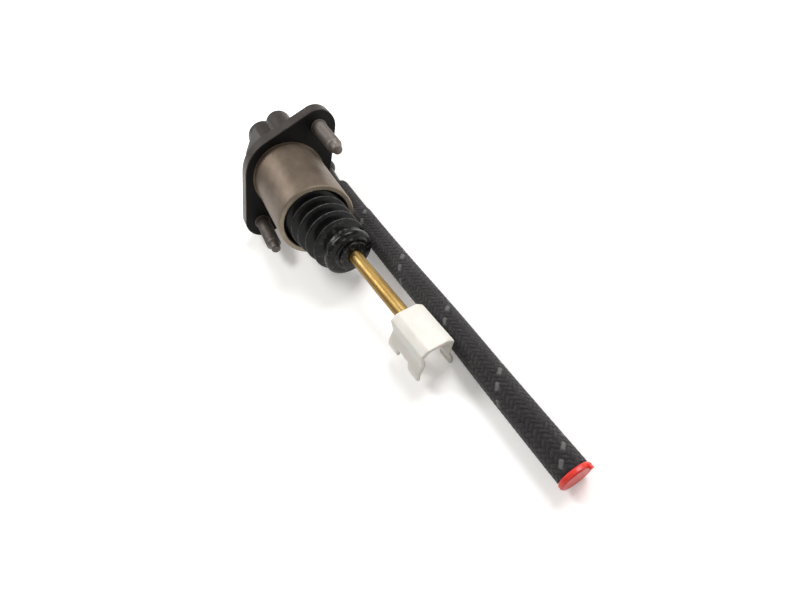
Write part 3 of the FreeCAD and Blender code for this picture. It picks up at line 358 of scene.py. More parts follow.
braid_material, braid_shader = principled("black_braid", (0.03, 0.028, 0.03), 0.75)
tracer = add_node(braid_material, "ShaderNodeAttribute", attribute_name="tracer")
yarn_across = add_node(braid_material, "ShaderNodeAttribute", attribute_name="yarn_across")
yarn_height = add_node(braid_material, "ShaderNodeAttribute", attribute_name="yarn_height")
strand_shade = add_node(braid_material, "ShaderNodeAttribute", attribute_name="strand_shade")
fuzz = noise_on_piece(braid_material, 2600.0, detail=5.0, roughness=0.7)
black_yarn = colour_steps(
    braid_material,
    fuzz,
    "Fac",
    [(0.25, (0.008, 0.007, 0.008)), (0.55, (0.021, 0.018, 0.020)), (0.8, (0.052, 0.047, 0.049))],
)
grey_yarn = colour_steps(
    braid_material, fuzz, "Fac", [(0.3, (0.035, 0.034, 0.035)), (0.72, (0.24, 0.236, 0.236))]
)
shade_mix = add_node(braid_material, "ShaderNodeMix", data_type="RGBA", blend_type="MULTIPLY")
shade_mix.inputs["Factor"].default_value = 1.0
shade_range = colour_steps(
    braid_material, strand_shade, "Fac", [(0.0, (0.62, 0.6, 0.62)), (1.0, (1.35, 1.3, 1.35))]
)
join(braid_material, black_yarn, "Color", shade_mix, "A")
join(braid_material, shade_range, "Color", shade_mix, "B")
# Painted shade: the braid is darkened where its strands dip under the crossing ones
painted_dip_shade_mix = add_node(braid_material, "ShaderNodeMix", data_type="RGBA", blend_type="MULTIPLY")
painted_dip_shade_mix.inputs["Factor"].default_value = 1.0
painted_dip_shade = colour_steps(
    braid_material, yarn_height, "Fac", [(0.25, (0.25, 0.24, 0.25)), (0.75, (1.0, 1.0, 1.0))]
)
join(braid_material, shade_mix, "Result", painted_dip_shade_mix, "A")
join(braid_material, painted_dip_shade, "Color", painted_dip_shade_mix, "B")
tracer_mix = add_node(braid_material, "ShaderNodeMix", data_type="RGBA")
join(braid_material, tracer, "Fac", tracer_mix, "Factor")
join(braid_material, painted_dip_shade_mix, "Result", tracer_mix, "A")
join(braid_material, grey_yarn, "Color", tracer_mix, "B")
join(braid_material, tracer_mix, "Result", braid_shader, "Base Color")
yarn_lines = add_node(braid_material, "ShaderNodeMath", operation="MULTIPLY")
yarn_lines.inputs[1].default_value = 2 * math.pi * YARN_RIDGES
join(braid_material, yarn_across, "Fac", yarn_lines, 0)
yarn_ridges = add_node(braid_material, "ShaderNodeMath", operation="SINE")
join(braid_material, yarn_lines, "Value", yarn_ridges, 0)
ridges = raise_grain(braid_material, braid_shader, yarn_ridges, "Value", 0.00009, strength=0.8)
raise_grain(braid_material, braid_shader, fuzz, "Fac", 0.00022, under=ridges)
braid_shader.inputs["Sheen Weight"].default_value = 0.25
braid_shader.inputs["Sheen Roughness"].default_value = 0.5
braid_shader.inputs["Specular IOR Level"].default_value = 0.3
feed_hose.data.materials.append(braid_material)


def closed_faces(rows, steps):
    """Quads between rows of points, with the last row joined to the first."""
    faces = grid_faces(rows, steps)
    last = (rows - 1) * steps
    for s in range(steps):
        after = (s + 1) % steps
        faces.append((last + s, last + after, after, s))
    return faces


# Each cut end shows the rubber wall, and the bore runs in behind it
lining_rows = [
    (0.0, HOSE_RADIUS - BRAID_COVER),
    (0.0, HOSE_BORE + BORE_EDGE),
    (BORE_EDGE, HOSE_BORE),
    (LINING_DEPTH, HOSE_BORE),
    (LINING_DEPTH, HOSE_RADIUS - BRAID_COVER),
]
lining_angle = np.linspace(0.0, 2 * math.pi, LINING_STEPS, endpoint=False)
rubber_wall, rubber_wall_shader = principled("hose_rubber", (0.018, 0.018, 0.019), 0.6)
wall_grain = noise_on_piece(rubber_wall, 900.0)
raise_grain(rubber_wall, rubber_wall_shader, wall_grain, "Fac", 0.0001)
paint(rubber_wall, rubber_wall_shader, wall_grain, [(0.3, (0.012, 0.012, 0.013)), (0.8, (0.035, 0.034, 0.034))])
for name, end, inward in (("hose_lining_start", 0.0, 1), ("hose_lining_end", hose_length, -1)):
    lining_vertices = []
    for depth, lining_radius in lining_rows:
        place, side, up = along_hose(np.array([end + inward * depth]))
        for a in lining_angle:
            lining_vertices.append(
                place[0] + lining_radius * math.cos(a) * side[0] + lining_radius * math.sin(a) * up[0]
            )
    lining_faces = closed_faces(len(lining_rows), LINING_STEPS)
    if inward < 0:
        lining_faces = [tuple(reversed(f)) for f in lining_faces]
    lining = mesh_object(name, lining_vertices, lining_faces, smooth=False)
    lining.data.materials.append(rubber_wall)
    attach(lining, "cylinder")

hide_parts("feed_hose")
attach(feed_hose, "cylinder")

# The transit plug: soft red polythene, moulded in one with a thin flange and a hollow stem. The stem grips the
# hose's bore and is pulled out when the hose is fitted.
NOISE_LOW = 0.3
NOISE_HIGH = 0.7


def roughen(material, shader, source, output, low, high):
    """Roughness between low and high, following a node's output."""
    spread = add_node(material, "ShaderNodeMapRange")
    spread.inputs["From Min"].default_value = NOISE_LOW
    spread.inputs["From Max"].default_value = NOISE_HIGH
    spread.inputs["To Min"].default_value = low
    spread.inputs["To Max"].default_value = high
    join(material, source, output, spread, "Value")
    join(material, spread, "Result", shader, "Roughness")


def dress(node, material):
    nodes[node].data.materials.clear()
    nodes[node].data.materials.append(material)


plug_material, plug_shader = principled("red_polythene", (0.72, 0.03, 0.022), 0.38)
plug_cloud = noise_on_piece(plug_material, 420.0)
paint(plug_material, plug_shader, plug_cloud, [(0.3, (0.60, 0.022, 0.018)), (0.7, (0.80, 0.045, 0.03))])
roughen(plug_material, plug_shader, plug_cloud, "Fac", 0.3, 0.48)
raise_grain(plug_material, plug_shader, plug_cloud, "Fac", 0.00012)
plug_shader.inputs["Subsurface Weight"].default_value = 0.2
plug_shader.inputs["Subsurface Scale"].default_value = 0.001
dress("hose_plug", plug_material)

# The body: an iron-grey casting with a black baked coating over a sandy skin. Its colour carries painted light
# and shade by facing: painted shade keeps the flange's front face black, painted light turns the sides
# grey-brown.
EDGE_SOFTNESS = 0.0004
FLAT_MERGE = math.radians(1.5)
EDGE_ANGLE = math.radians(32)
COLOUR_OUTPUT = {"VALTORGB": "Color", "MIX": "Result"}


def soften_edges(node, width):
    """Joins a node's flat facets, then rounds its sharp edges to this width."""
    merge = nodes[node].modifiers.new("merge_flats", "DECIMATE")
    merge.decimate_type = "DISSOLVE"
    merge.angle_limit = FLAT_MERGE
    bevel = nodes[node].modifiers.new("soft_edges", "BEVEL")
    bevel.width = width
    bevel.segments = 3
    bevel.limit_method = "ANGLE"
    bevel.angle_limit = EDGE_ANGLE
    bevel.harden_normals = True


def by_facing(material, steps, axis="X", backwards=False):
    """A colour ramp by how far a surface faces along this axis of the piece, or against it."""
    coordinates = add_node(material, "ShaderNodeTexCoord")
    split = add_node(material, "ShaderNodeSeparateXYZ")
    join(material, coordinates, "Normal", split, "Vector")
    facing = add_node(material, "ShaderNodeMath", operation="MULTIPLY")
    facing.inputs[1].default_value = -1.0 if backwards else 1.0
    join(material, split, axis, facing, 0)
    return colour_steps(material, facing, "Value", steps)


def tint(material, shader, share, plain, tinted):
    """Mixes two colour nodes by a third and gives the result to the shader."""
    blend = add_node(material, "ShaderNodeMix", data_type="RGBA")
    join(material, share, COLOUR_OUTPUT[share.type], blend, "Factor")
    join(material, plain, COLOUR_OUTPUT[plain.type], blend, "A")
    join(material, tinted, COLOUR_OUTPUT[tinted.type], blend, "B")
    join(material, blend, "Result", shader, "Base Color")


coat_material, coat_shader = principled("black_coated_casting", (0.05, 0.045, 0.042), 0.5)
sand = noise_on_piece(coat_material, 1500.0, detail=6.0, roughness=0.65)
cloud = noise_on_piece(coat_material, 90.0, detail=5.0)
# Painted light: the sides get a lighter grey-brown than the front face
side_coat_with_painted_light = colour_steps(
    coat_material,
    cloud,
    "Fac",
    [(0.3, (0.026, 0.021, 0.019)), (0.55, (0.038, 0.031, 0.028)), (0.8, (0.060, 0.050, 0.045))],
)
# Painted shade: the faces turned to +X, the flange's front, are kept near black
face_coat_with_painted_shade = colour_steps(
    coat_material, cloud, "Fac", [(0.3, (0.002, 0.0015, 0.0015)), (0.8, (0.005, 0.0042, 0.004))]
)
# A brighter painted light on the faces turned to -Y
brighter_painted_light = colour_steps(
    coat_material, cloud, "Fac", [(0.3, (0.16, 0.145, 0.135)), (0.8, (0.26, 0.245, 0.23))]
)
painted_light_by_facing = add_node(coat_material, "ShaderNodeMix", data_type="RGBA")
join(
    coat_material,
    by_facing(coat_material, [(0.45, (0.0, 0.0, 0.0)), (0.9, (1.0, 1.0, 1.0))], backwards=True, axis="Y"),
    "Color",
    painted_light_by_facing,
    "Factor",
)
join(coat_material, side_coat_with_painted_light, "Color", painted_light_by_facing, "A")
join(coat_material, brighter_painted_light, "Color", painted_light_by_facing, "B")
tint(
    coat_material,
    coat_shader,
    by_facing(coat_material, [(0.78, (0.0, 0.0, 0.0)), (0.97, (1.0, 1.0, 1.0))]),
    painted_light_by_facing,
    face_coat_with_painted_shade,
)
roughen(coat_material, coat_shader, cloud, "Fac", 0.42, 0.6)
raise_grain(coat_material, coat_shader, sand, "Fac", 0.00012)
coat_shader.inputs["Specular IOR Level"].default_value = 0.22
dress("cylinder_body", coat_material)
soften_edges("cylinder_body", EDGE_SOFTNESS)

# The barrel: a steel sleeve turned to a satin finish and left bare, pressed into the flange up to a thin
# collar. The cut face of its mouth carries a painted highlight, brighter than its side.
RIM_FROM = 0.050
RIM_FULL = 0.054

barrel_material, barrel_shader = principled("turned_satin_steel", (0.36, 0.31, 0.26), 0.5, metallic=0.75)
tool_marks = noise_on_piece(barrel_material, 60.0, detail=3.0, stretch=(60.0, 1.5, 1.5))
stain = noise_on_piece(barrel_material, 38.0, detail=6.0, roughness=0.65, stretch=(1.0, 1.6, 1.6))
barrel_colour = colour_steps(
    barrel_material,
    stain,
    "Fac",
    [(0.28, (0.125, 0.094, 0.068)), (0.5, (0.175, 0.136, 0.103)), (0.75, (0.225, 0.182, 0.142))],
)
# Painted highlight on the mouth's cut face, where it faces +X near the front
rim_painted_highlight = colour_steps(
    barrel_material, stain, "Fac", [(0.3, (0.26, 0.21, 0.155)), (0.75, (0.43, 0.37, 0.29))]
)
rim_facing = by_facing(barrel_material, [(0.25, (0.0, 0.0, 0.0)), (0.8, (1.0, 1.0, 1.0))])
along_barrel = add_node(barrel_material, "ShaderNodeSeparateXYZ")
join(barrel_material, place_on_piece(barrel_material), "Vector", along_barrel, "Vector")
near_mouth = add_node(barrel_material, "ShaderNodeMapRange")
near_mouth.inputs["From Min"].default_value = RIM_FROM
near_mouth.inputs["From Max"].default_value = RIM_FULL
join(barrel_material, along_barrel, "X", near_mouth, "Value")
painted_highlight_share = add_node(barrel_material, "ShaderNodeMix", data_type="RGBA", blend_type="MULTIPLY")
painted_highlight_share.inputs["Factor"].default_value = 1.0
join(barrel_material, rim_facing, "Color", painted_highlight_share, "A")
join(barrel_material, near_mouth, "Result", painted_highlight_share, "B")
tint(barrel_material, barrel_shader, painted_highlight_share, barrel_colour, rim_painted_highlight)
roughen(barrel_material, barrel_shader, tool_marks, "Fac", 0.42, 0.58)
raise_grain(barrel_material, barrel_shader, tool_marks, "Fac", 0.00009, strength=0.8)
dress("barrel_sleeve", barrel_material)

# The studs: steel bolts with rolled threads under grey-brown phosphate, pressed into the flange from behind,
# with a dog point that guides the nut on
STUD_RADIUS = 0.005
STUD_SHOULDER = 0.0056
STUD_HEAD_FACE = -0.010
STUD_HEAD_EDGE = 0.0007
THREAD_PITCH = 0.0015
THREAD_DEPTH = 0.00042
THREAD_FLANK = 2.4
THREAD_FROM = 0.0035
THREAD_RUNOUT = 0.0015
CONE_LENGTH = 0.0024
POINT_RADIUS = 0.0032
POINT_LENGTH = 0.0046
POINT_CHAMFER = 0.001
STUD_STEPS = 48
ROWS_PER_PITCH = 12

phosphate_material, phosphate_shader = principled("grey_phosphate", (0.14, 0.125, 0.12), 0.62, metallic=0.6)
phosphate_grain = noise_on_piece(phosphate_material, 1800.0, detail=6.0, roughness=0.7)
phosphate_cloud = noise_on_piece(phosphate_material, 180.0)
paint(
    phosphate_material,
    phosphate_shader,
    phosphate_cloud,
    [(0.3, (0.15, 0.130, 0.120)), (0.6, (0.19, 0.165, 0.150)), (0.8, (0.24, 0.212, 0.195))],
)
roughen(phosphate_material, phosphate_shader, phosphate_grain, "Fac", 0.45, 0.7)
raise_grain(phosphate_material, phosphate_shader, phosphate_grain, "Fac", 0.00006)


def turned_piece(name, outline, centre, steps, height_of=None):
    """A piece turned about a line along the bore: outline is (station, radius), and both ends are closed."""
    vertices = []
    for x, r in outline:
        for k in range(steps):
            a = 2 * math.pi * k / steps
            here = r + (height_of(x, a) if height_of else 0.0)
            vertices.append((x, centre[1] + here * math.cos(a), centre[2] + here * math.sin(a)))
    faces = [tuple(reversed(f)) for f in grid_faces(len(outline), steps)]
    faces.append(tuple(range(steps)))
    last = (len(outline) - 1) * steps
    faces.append(tuple(last + k for k in reversed(range(steps))))
    return mesh_object(name, vertices, faces)


def thread_height(x, a, front):
    """How far the rolled thread falls below the stud's outside at this place."""
    along = (x - THREAD_PITCH * a / (2 * math.pi)) / THREAD_PITCH % 1.0
    groove = THREAD_DEPTH * min(1.0, THREAD_FLANK * (1 - abs(2 * along - 1)))
    entering = min(1.0, max(0.0, (x - THREAD_FROM) / THREAD_RUNOUT))
    leaving = min(1.0, max(0.0, (front - x) / THREAD_RUNOUT))
    return -groove * min(entering, leaving)


for stud in ("stud_upper", "stud_lower"):
    low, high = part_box(stud)
    centre = (low + high) / 2
    head_radius = (high.y - low.y) / 2
    point_rear = high.x - POINT_LENGTH
    shank_front = point_rear - CONE_LENGTH
    outline = [
        (low.x, head_radius - STUD_HEAD_EDGE),
        (low.x + STUD_HEAD_EDGE, head_radius),
        (STUD_HEAD_FACE - STUD_HEAD_EDGE, head_radius),
        (STUD_HEAD_FACE, head_radius - STUD_HEAD_EDGE),
        (STUD_HEAD_FACE, STUD_SHOULDER),
        (0.0, STUD_SHOULDER),
    ]
    count = int(shank_front / THREAD_PITCH * ROWS_PER_PITCH)
    outline += [(shank_front * i / count, STUD_RADIUS) for i in range(count + 1)]
    outline += [
        (shank_front + CONE_LENGTH * 0.5, (STUD_RADIUS + POINT_RADIUS) / 2),
        (point_rear, POINT_RADIUS),
        (high.x - POINT_CHAMFER * 1.2, POINT_RADIUS),
        (high.x - POINT_CHAMFER * 0.8, POINT_RADIUS - POINT_CHAMFER * 0.1),
        (high.x - POINT_CHAMFER * 0.2, POINT_RADIUS - POINT_CHAMFER * 0.7),
        (high.x, POINT_RADIUS - POINT_CHAMFER),
    ]
    piece = turned_piece(
        stud + "_threaded",
        outline,
        centre,
        STUD_STEPS,
        lambda x, a, front=shank_front: thread_height(x, a, front) if THREAD_FROM < x < front else 0.0,
    )
    piece.data.materials.append(phosphate_material)
    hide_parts(stud)
    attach(piece, "cylinder")

# Inside the body: rubber lip seals either side of a nylon feed ring, a nylon bush, and the washer and circlip
# that hold them in
seal_material, seal_shader = principled("seal_rubber", (0.016, 0.016, 0.017), 0.42)
seal_grain = noise_on_piece(seal_material, 1200.0)
paint(seal_material, seal_shader, seal_grain, [(0.3, (0.012, 0.012, 0.013)), (0.8, (0.03, 0.03, 0.031))])
raise_grain(seal_material, seal_shader, seal_grain, "Fac", 0.00004)
nylon_material, nylon_shader = principled("natural_nylon", (0.78, 0.75, 0.66), 0.42)
nylon_grain = noise_on_piece(nylon_material, 700.0)
paint(nylon_material, nylon_shader, nylon_grain, [(0.3, (0.72, 0.69, 0.60)), (0.8, (0.84, 0.81, 0.73))])
raise_grain(nylon_material, nylon_shader, nylon_grain, "Fac", 0.00005)
bright_material, bright_shader = principled("bright_steel", (0.58, 0.57, 0.56), 0.3, metallic=1.0)
bright_grain = noise_on_piece(bright_material, 500.0, detail=6.0)
roughen(bright_material, bright_shader, bright_grain, "Fac", 0.22, 0.4)
raise_grain(bright_material, bright_shader, bright_grain, "Fac", 0.00003)
for seal in ("primary_seal", "secondary_seal", "port_grommet"):
    dress(seal, seal_material)
for moulding in ("feed_ring", "guide_bush", "rod_retainer"):
    dress(moulding, nylon_material)
for plain in ("stop_washer", "spring_seat", "connector_pin"):
    dress(plain, bright_material)
dress("circlip", phosphate_material)

# The plunger: an aluminium bar turned smooth, bored behind for its spring and in front for the rod's ball,
# with its fine tool marks running round it
plunger_material, plunger_shader = principled("turned_aluminium", (0.68, 0.68, 0.68), 0.28, metallic=1.0)
plunger_marks = noise_on_piece(plunger_material, 60.0, detail=2.0, stretch=(90.0, 1.0, 1.0))
roughen(plunger_material, plunger_shader, plunger_marks, "Fac", 0.2, 0.34)
raise_grain(plunger_material, plunger_shader, plunger_marks, "Fac", 0.00002)
dress("plunger", plunger_material)

# The return spring: steel wire wound open, with its end turns closed on the seats.
SPRING_WIRE = 0.0007
SPRING_STEPS = 12
SPRING_TURNS = 7.0
SPRING_SEGMENTS = 40
END_TURNS_CLOSE = 0.6
spring_low, spring_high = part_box("return_spring")
spring_radius = (spring_high.y - spring_low.y) / 2 - SPRING_WIRE
spring_from = spring_low.x + SPRING_WIRE
spring_reach = spring_high.x - SPRING_WIRE - spring_from
spring_vertices = []
spring_rows = int(SPRING_TURNS * SPRING_SEGMENTS) + 1
for r in range(spring_rows):
    share = r / (spring_rows - 1)
    turn_angle = 2 * math.pi * SPRING_TURNS * share
    spread = share - math.sin(4 * math.pi * share) / (8 * math.pi) * END_TURNS_CLOSE
    outward = Vector((0.0, math.cos(turn_angle), math.sin(turn_angle)))
    middle = Vector((spring_from + spring_reach * spread, 0.0, 0.0)) + outward * spring_radius
    for k in range(SPRING_STEPS):
        a = 2 * math.pi * k / SPRING_STEPS
        along_bore = Vector((SPRING_WIRE * math.sin(a), 0.0, 0.0))
        spring_vertices.append(middle + outward * (SPRING_WIRE * math.cos(a)) + along_bore)
spring_faces = grid_faces(spring_rows, SPRING_STEPS)
spring_faces.append(tuple(reversed(range(SPRING_STEPS))))
spring_faces.append(tuple((spring_rows - 1) * SPRING_STEPS + k for k in range(SPRING_STEPS)))
spring = mesh_object("return_spring_wire", spring_vertices, spring_faces)
spring.data.materials.append(bright_material)
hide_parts("return_spring")
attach(spring, "cylinder")
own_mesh(spring)

# The pushrod: cold-drawn steel bar, headed into a ball at each end, then zinc plated and yellow chromated. The
# plating leaves faint green and pink tints.
rod_material, rod_shader = principled("yellow_zinc", (0.72, 0.46, 0.12), 0.3, metallic=1.0)
draw_lines = noise_on_piece(rod_material, 70.0, detail=5.0, stretch=(1.0, 22.0, 22.0))
rod_tint = noise_on_piece(rod_material, 34.0, detail=4.0, stretch=(1.0, 2.5, 2.5))
ROD_TINTS = [
    (0.28, (0.26, 0.155, 0.045)),
    (0.48, (0.35, 0.225, 0.070)),
    (0.66, (0.41, 0.285, 0.110)),
    (0.85, (0.35, 0.285, 0.130)),
]
paint(rod_material, rod_shader, rod_tint, ROD_TINTS)
roughen(rod_material, rod_shader, draw_lines, "Fac", 0.36, 0.52)
raise_grain(rod_material, rod_shader, draw_lines, "Fac", 0.00004, strength=0.7)
dress("pushrod", rod_material)

# The boot: black rubber moulded in one, with a bead that sits in a groove inside the barrel, eight deep folds
# with a painted highlight along their crests, a dusty bulb and a ribbed neck that grips the rod. The front folds
# and the bulb sag a little and lean with the rod.
BOOT_WALL = 0.0012
BOOT_STEPS = 128
SKIRT_RADIUS = 0.0202
FOLDS = 8
FOLD_ROWS = 30
FOLDS_START = 0.0294
FOLDS_END = 0.0834
FOLD_CREST = 0.0194
FOLD_TAPER = 0.08
FOLD_DEPTH = 0.0050
FOLD_CREST_WIDTH = 0.48
CREST_HIGHLIGHT_WIDTH = 0.16
BARREL_MOUTH = 0.057
BOOT_STRAIGHT_END = 0.050
BOOT_BEND = 1.6
BULB_MIDDLE = 0.087
BULB_SAG = Vector((0.0, 0.0016, 0.0018))
BULB_TURN = math.radians(7.0)
BULB_STEPS = 6
DUST_FROM = 0.078
DUST_FULL = 0.086
CLEAN_GRAIN = 0.45
NECK_START = 0.0916
INSIDE_END = 0.0906
BEAD_RADIUS = 0.0218
BEAD_LENGTH = 0.0014
BEAD_STEP = 0.0001
BEAD_BORE = 0.0195
BEAD_EDGE = 0.0002
STATION_SLACK = 1e-9
BOOT_BULB = [
    (0.0838, 0.0130),
    (0.0844, 0.0144),
    (0.0858, 0.0153),
    (0.0878, 0.0155),
    (0.0897, 0.0149),
    (0.0909, 0.0135),
    (0.0915, 0.0118),
    (0.0918, 0.0113),
    (0.0923, 0.0110),
    (0.0927, 0.0104),
    (0.0928, 0.0096),
    (0.0927, 0.0087),
    (0.0924, 0.0078),
]
BOOT_NECK_REAR = 0.0900
BOOT_NECK_RADIUS = 0.0078
BOOT_COLLAR_RADIUS = 0.0090
BOOT_ROD_BORE = 0.0043
ROD_DIRECTION = Vector((0.994640, 0.076533, -0.069533))
ROD_BALL = Vector((0.00295, 0.0, 0.0))
FOLD_SPLIT = FOLDS_START + 5 * (FOLDS_END - FOLDS_START) / FOLDS
boot_low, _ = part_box("boot")


def rod_axis(x):
    """The point of the rod's axis at this distance along the bore."""
    return ROD_BALL + ROD_DIRECTION * ((x - ROD_BALL.x) / ROD_DIRECTION.x)


bore_direction = Vector((1.0, 0.0, 0.0))
bulb_centre = rod_axis(BULB_MIDDLE) - BULB_SAG
bulb_direction = Matrix.Rotation(BULB_TURN, 3, "Z") @ ROD_DIRECTION
neck_start = rod_axis(NECK_START)


def ring_about(centre, facing, radius):
    """Points of a ring of this radius, square to the direction that it faces."""
    sideways = Vector((0.0, 0.0, 1.0)).cross(facing).normalized()
    upward = facing.cross(sideways)
    ring = []
    for k in range(BOOT_STEPS):
        a = 2 * math.pi * k / BOOT_STEPS
        ring.append(centre + sideways * (radius * math.cos(a)) + upward * (radius * math.sin(a)))
    return ring


def boot_ring(x, radius):
    """A ring of the boot: square to the bore inside the barrel, sagging to the bulb, then square to the rod."""
    if x < BULB_MIDDLE:
        share = max(0.0, (x - BOOT_STRAIGHT_END) / (BULB_MIDDLE - BOOT_STRAIGHT_END)) ** BOOT_BEND
        centre = Vector((x, bulb_centre.y * share, bulb_centre.z * share))
        facing = bore_direction * (1 - share) + bulb_direction * share
    else:
        share = min(1.0, (x - BULB_MIDDLE) / (neck_start.x - BULB_MIDDLE))
        centre = bulb_centre.lerp(neck_start, share) + ROD_DIRECTION * max(0.0, x - neck_start.x)
        facing = bulb_direction * (1 - share) + ROD_DIRECTION * share
    return ring_about(centre, facing.normalized(), radius)


def from_crest(x):
    """How far this place is from a fold's crest: 0 on the crest, 1 at the bottom of the valley."""
    phase = (x - FOLDS_START) / (FOLDS_END - FOLDS_START) * FOLDS % 1.0
    return abs(2 * phase - 1)


def fold_radius(x):
    """The folds' outside: narrow round crests with wide valleys between them, tapering outside the barrel."""
    valley_level = 1 / (1 + FOLD_CREST_WIDTH**-2)
    height = (1 / (1 + (from_crest(x) / FOLD_CREST_WIDTH) ** 2) - valley_level) / (1 - valley_level)
    crest = FOLD_CREST - FOLD_TAPER * max(0.0, x - BARREL_MOUTH)
    return crest - FOLD_DEPTH * (1 - height)


def crest_highlight_share(x):
    """How much painted highlight lies along a fold's crest at this distance along the bore."""
    on_folds = FOLDS_START < x < FOLDS_END
    return max(0.0, 1 - from_crest(x) / CREST_HIGHLIGHT_WIDTH) if on_folds else 0.0


def smooth_value(p, q, r, s, t):
    """The value this share of the way from q to r, on a smooth line through p, q, r and s."""
    return 0.5 * (2 * q + (r - p) * t + (2 * p - 5 * q + 4 * r - s) * t**2 + (3 * q - p - 3 * r + s) * t**3)


def smooth_outline(points, steps):
    """A smooth line through these (station, radius) points."""
    line = []
    ends = [points[0], *points, points[-1]]
    for four in zip(ends, ends[1:], ends[2:], ends[3:]):
        line += [tuple(smooth_value(*values, i / steps) for values in zip(*four)) for i in range(steps)]
    line.append(points[-1])
    return line


def boot_shell(name, outline, wall):
    """A closed shell from an outside outline and the same line a wall's thickness further in."""
    rings = [boot_ring(x, r) for x, r in outline]
    rings += [boot_ring(min(x, INSIDE_END), max(r - wall, BOOT_ROD_BORE)) for x, r in reversed(outline)]
    vertices = [v for ring in rings for v in ring]
    faces = closed_faces(len(rings), BOOT_STEPS)
    shell = mesh_object(name, vertices, [tuple(reversed(f)) for f in faces])
    crests = [crest_highlight_share(x) for x, _ in outline] + [0.0] * len(outline)
    shell.data.attributes.new("crest", "FLOAT", "POINT").data.foreach_set("value", np.repeat(crests, BOOT_STEPS))
    return shell


boot_material, boot_shader = principled("boot_rubber", (0.012, 0.012, 0.013), 0.32)
dust = noise_on_piece(boot_material, 300.0, detail=8.0, roughness=0.75)
skin_grain = noise_on_piece(boot_material, 1600.0, detail=4.0)
clean_rubber = colour_steps(
    boot_material, dust, "Fac", [(0.4, (0.003, 0.003, 0.0032)), (0.75, (0.008, 0.0077, 0.0077))]
)
dusty_rubber = colour_steps(
    boot_material,
    dust,
    "Fac",
    [(0.45, (0.004, 0.004, 0.0045)), (0.56, (0.016, 0.0155, 0.0155)), (0.66, (0.16, 0.155, 0.15))],
)
along_boot = add_node(boot_material, "ShaderNodeSeparateXYZ")
join(boot_material, place_on_piece(boot_material), "Vector", along_boot, "Vector")
bulb_only = add_node(boot_material, "ShaderNodeMapRange")
bulb_only.inputs["From Min"].default_value = DUST_FROM
bulb_only.inputs["From Max"].default_value = DUST_FULL
join(boot_material, along_boot, "X", bulb_only, "Value")
bulb_share = colour_steps(boot_material, bulb_only, "Result", [(0.0, (0.1, 0.1, 0.1)), (1.0, (1.0, 1.0, 1.0))])
crest_highlight_mask = add_node(boot_material, "ShaderNodeAttribute", attribute_name="crest")
# Painted highlight: a lighter colour along each fold's crest
crest_painted_highlight = colour_steps(
    boot_material, dust, "Fac", [(0.35, (0.045, 0.044, 0.044)), (0.65, (0.13, 0.128, 0.126))]
)
fold_colour = add_node(boot_material, "ShaderNodeMix", data_type="RGBA")
join(boot_material, crest_highlight_mask, "Fac", fold_colour, "Factor")
join(boot_material, clean_rubber, "Color", fold_colour, "A")
join(boot_material, crest_painted_highlight, "Color", fold_colour, "B")
tint(boot_material, boot_shader, bulb_share, fold_colour, dusty_rubber)
bulb_grain = add_node(boot_material, "ShaderNodeMix", data_type="FLOAT")
bulb_grain.inputs["A"].default_value = CLEAN_GRAIN
join(boot_material, bulb_only, "Result", bulb_grain, "Factor")
join(boot_material, dust, "Fac", bulb_grain, "B")
roughen(boot_material, boot_shader, bulb_grain, "Result", 0.2, 0.36)
boot_shader.inputs["Specular IOR Level"].default_value = 0.22
raise_grain(boot_material, boot_shader, skin_grain, "Fac", 0.000012)

fold_rows = FOLDS * FOLD_ROWS
fold_stations = [FOLDS_START + (FOLDS_END - FOLDS_START) * i / fold_rows for i in range(fold_rows + 1)]
outline = [(x, fold_radius(x)) for x in fold_stations[:-1]]
rear_outline = [p for p in outline if p[0] <= FOLD_SPLIT + STATION_SLACK]
front_outline = [p for p in outline if p[0] >= FOLD_SPLIT - STATION_SLACK]
front_outline += smooth_outline(BOOT_BULB, BULB_STEPS)
bead = [
    (boot_low.x, BEAD_BORE),
    (boot_low.x, BEAD_RADIUS - BEAD_EDGE),
    (boot_low.x + BEAD_EDGE, BEAD_RADIUS),
    (boot_low.x + BEAD_LENGTH - BEAD_EDGE, BEAD_RADIUS),
    (boot_low.x + BEAD_LENGTH, BEAD_RADIUS - BEAD_EDGE),
    (boot_low.x + BEAD_LENGTH + BEAD_STEP, SKIRT_RADIUS),
    (FOLDS_START - 0.0038, SKIRT_RADIUS),
    (FOLDS_START - 0.0030, SKIRT_RADIUS - 0.0003),
    (FOLDS_START - 0.0010, FOLD_CREST - FOLD_DEPTH + 0.0009),
]
rear_boot = boot_shell("boot_rear_folds", bead + rear_outline, BOOT_WALL)
front_boot = boot_shell("boot_front_folds", front_outline, BOOT_WALL)
neck_base = rod_axis(BOOT_NECK_REAR)
neck_outline = [
    (0.0, BOOT_NECK_RADIUS - 0.0010),
    (0.0006, BOOT_NECK_RADIUS),
    (0.0022, BOOT_NECK_RADIUS),
    (0.0024, BOOT_NECK_RADIUS + 0.0003),
    (0.0026, BOOT_COLLAR_RADIUS - 0.0004),
    (0.0029, BOOT_COLLAR_RADIUS - 0.0001),
    (0.0032, BOOT_COLLAR_RADIUS),
    (0.0040, BOOT_COLLAR_RADIUS),
    (0.0043, BOOT_COLLAR_RADIUS - 0.0002),
    (0.0045, BOOT_COLLAR_RADIUS - 0.0006),
    (0.0046, BOOT_NECK_RADIUS - 0.0004),
    (0.0047, BOOT_NECK_RADIUS - 0.0012),
    (0.0050, BOOT_ROD_BORE + 0.0012),
    (0.0050, BOOT_ROD_BORE + 0.0002),
    (0.0048, BOOT_ROD_BORE),
    (0.0, BOOT_ROD_BORE),
]
neck_vertices = [v for x, r in neck_outline for v in ring_about(neck_base + ROD_DIRECTION * x, ROD_DIRECTION, r)]
neck_faces = closed_faces(len(neck_outline), BOOT_STEPS)
boot_neck = mesh_object("boot_neck", neck_vertices, [tuple(reversed(f)) for f in neck_faces])
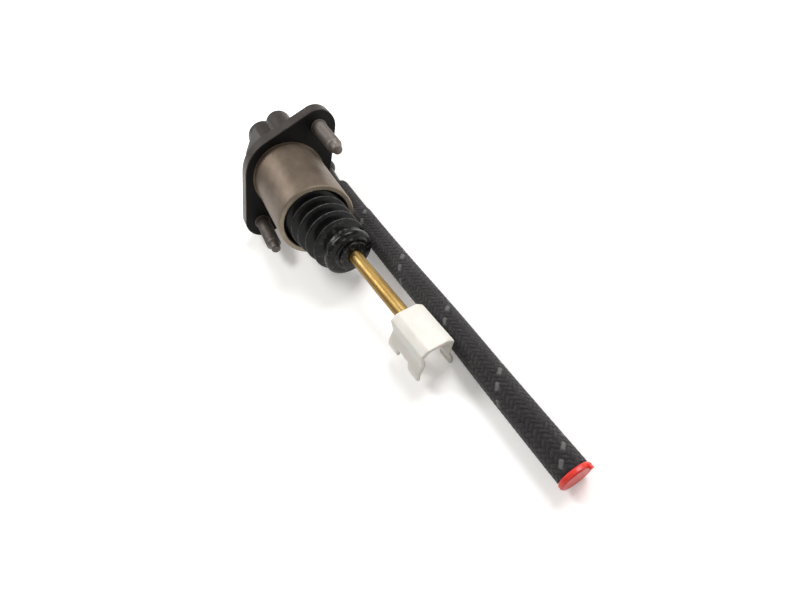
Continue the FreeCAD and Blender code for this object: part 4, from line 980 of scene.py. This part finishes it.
for piece in (rear_boot, front_boot, boot_neck):
    piece.data.materials.append(boot_material)
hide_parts("boot")
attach(rear_boot, "plunger")
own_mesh(rear_boot)
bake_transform(front_boot)
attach(boot_neck, "pushrod")

# The pedal clip: natural nylon moulded as a saddle, with a snap socket for the rod's ball and two sprung legs.
# An even skin is laid over it and eased, since every edge of such a moulding is round.
CLIP_SKIN_GRID = 0.00030
CLIP_SKIN_EASE = 0.5
CLIP_SKIN_PASSES = 40

clip_material, clip_shader = principled("white_nylon", (0.86, 0.85, 0.82), 0.42)
clip_cloud = noise_on_piece(clip_material, 130.0)
paint(clip_material, clip_shader, clip_cloud, [(0.3, (0.70, 0.682, 0.632)), (0.7, (0.77, 0.752, 0.702))])
roughen(clip_material, clip_shader, clip_cloud, "Fac", 0.36, 0.5)
clip_shader.inputs["Subsurface Weight"].default_value = 0.2
clip_shader.inputs["Subsurface Scale"].default_value = 0.003
raise_grain(clip_material, clip_shader, clip_cloud, "Fac", 0.0002, strength=0.4)
dress("pedal_clip", clip_material)
clip_skin = nodes["pedal_clip"].modifiers.new("even_skin", "REMESH")
clip_skin.mode = "VOXEL"
clip_skin.voxel_size = CLIP_SKIN_GRID
clip_skin.use_smooth_shade = True
clip_flow = nodes["pedal_clip"].modifiers.new("moulded_roundness", "SMOOTH")
clip_flow.factor = CLIP_SKIN_EASE
clip_flow.iterations = CLIP_SKIN_PASSES

# The hose connector: black glass-filled plastic, moulded in one with its stem, corner, neck and barb, and held
# in the casting's port by a pin
elbow_material, elbow_shader = principled("black_plastic", (0.02, 0.02, 0.021), 0.45)
elbow_grain = noise_on_piece(elbow_material, 800.0)
paint(elbow_material, elbow_shader, elbow_grain, [(0.3, (0.006, 0.006, 0.0065)), (0.8, (0.018, 0.0175, 0.018))])
roughen(elbow_material, elbow_shader, elbow_grain, "Fac", 0.36, 0.55)
raise_grain(elbow_material, elbow_shader, elbow_grain, "Fac", 0.00006)
dress("hose_elbow", elbow_material)
soften_edges("hose_elbow", EDGE_SOFTNESS)
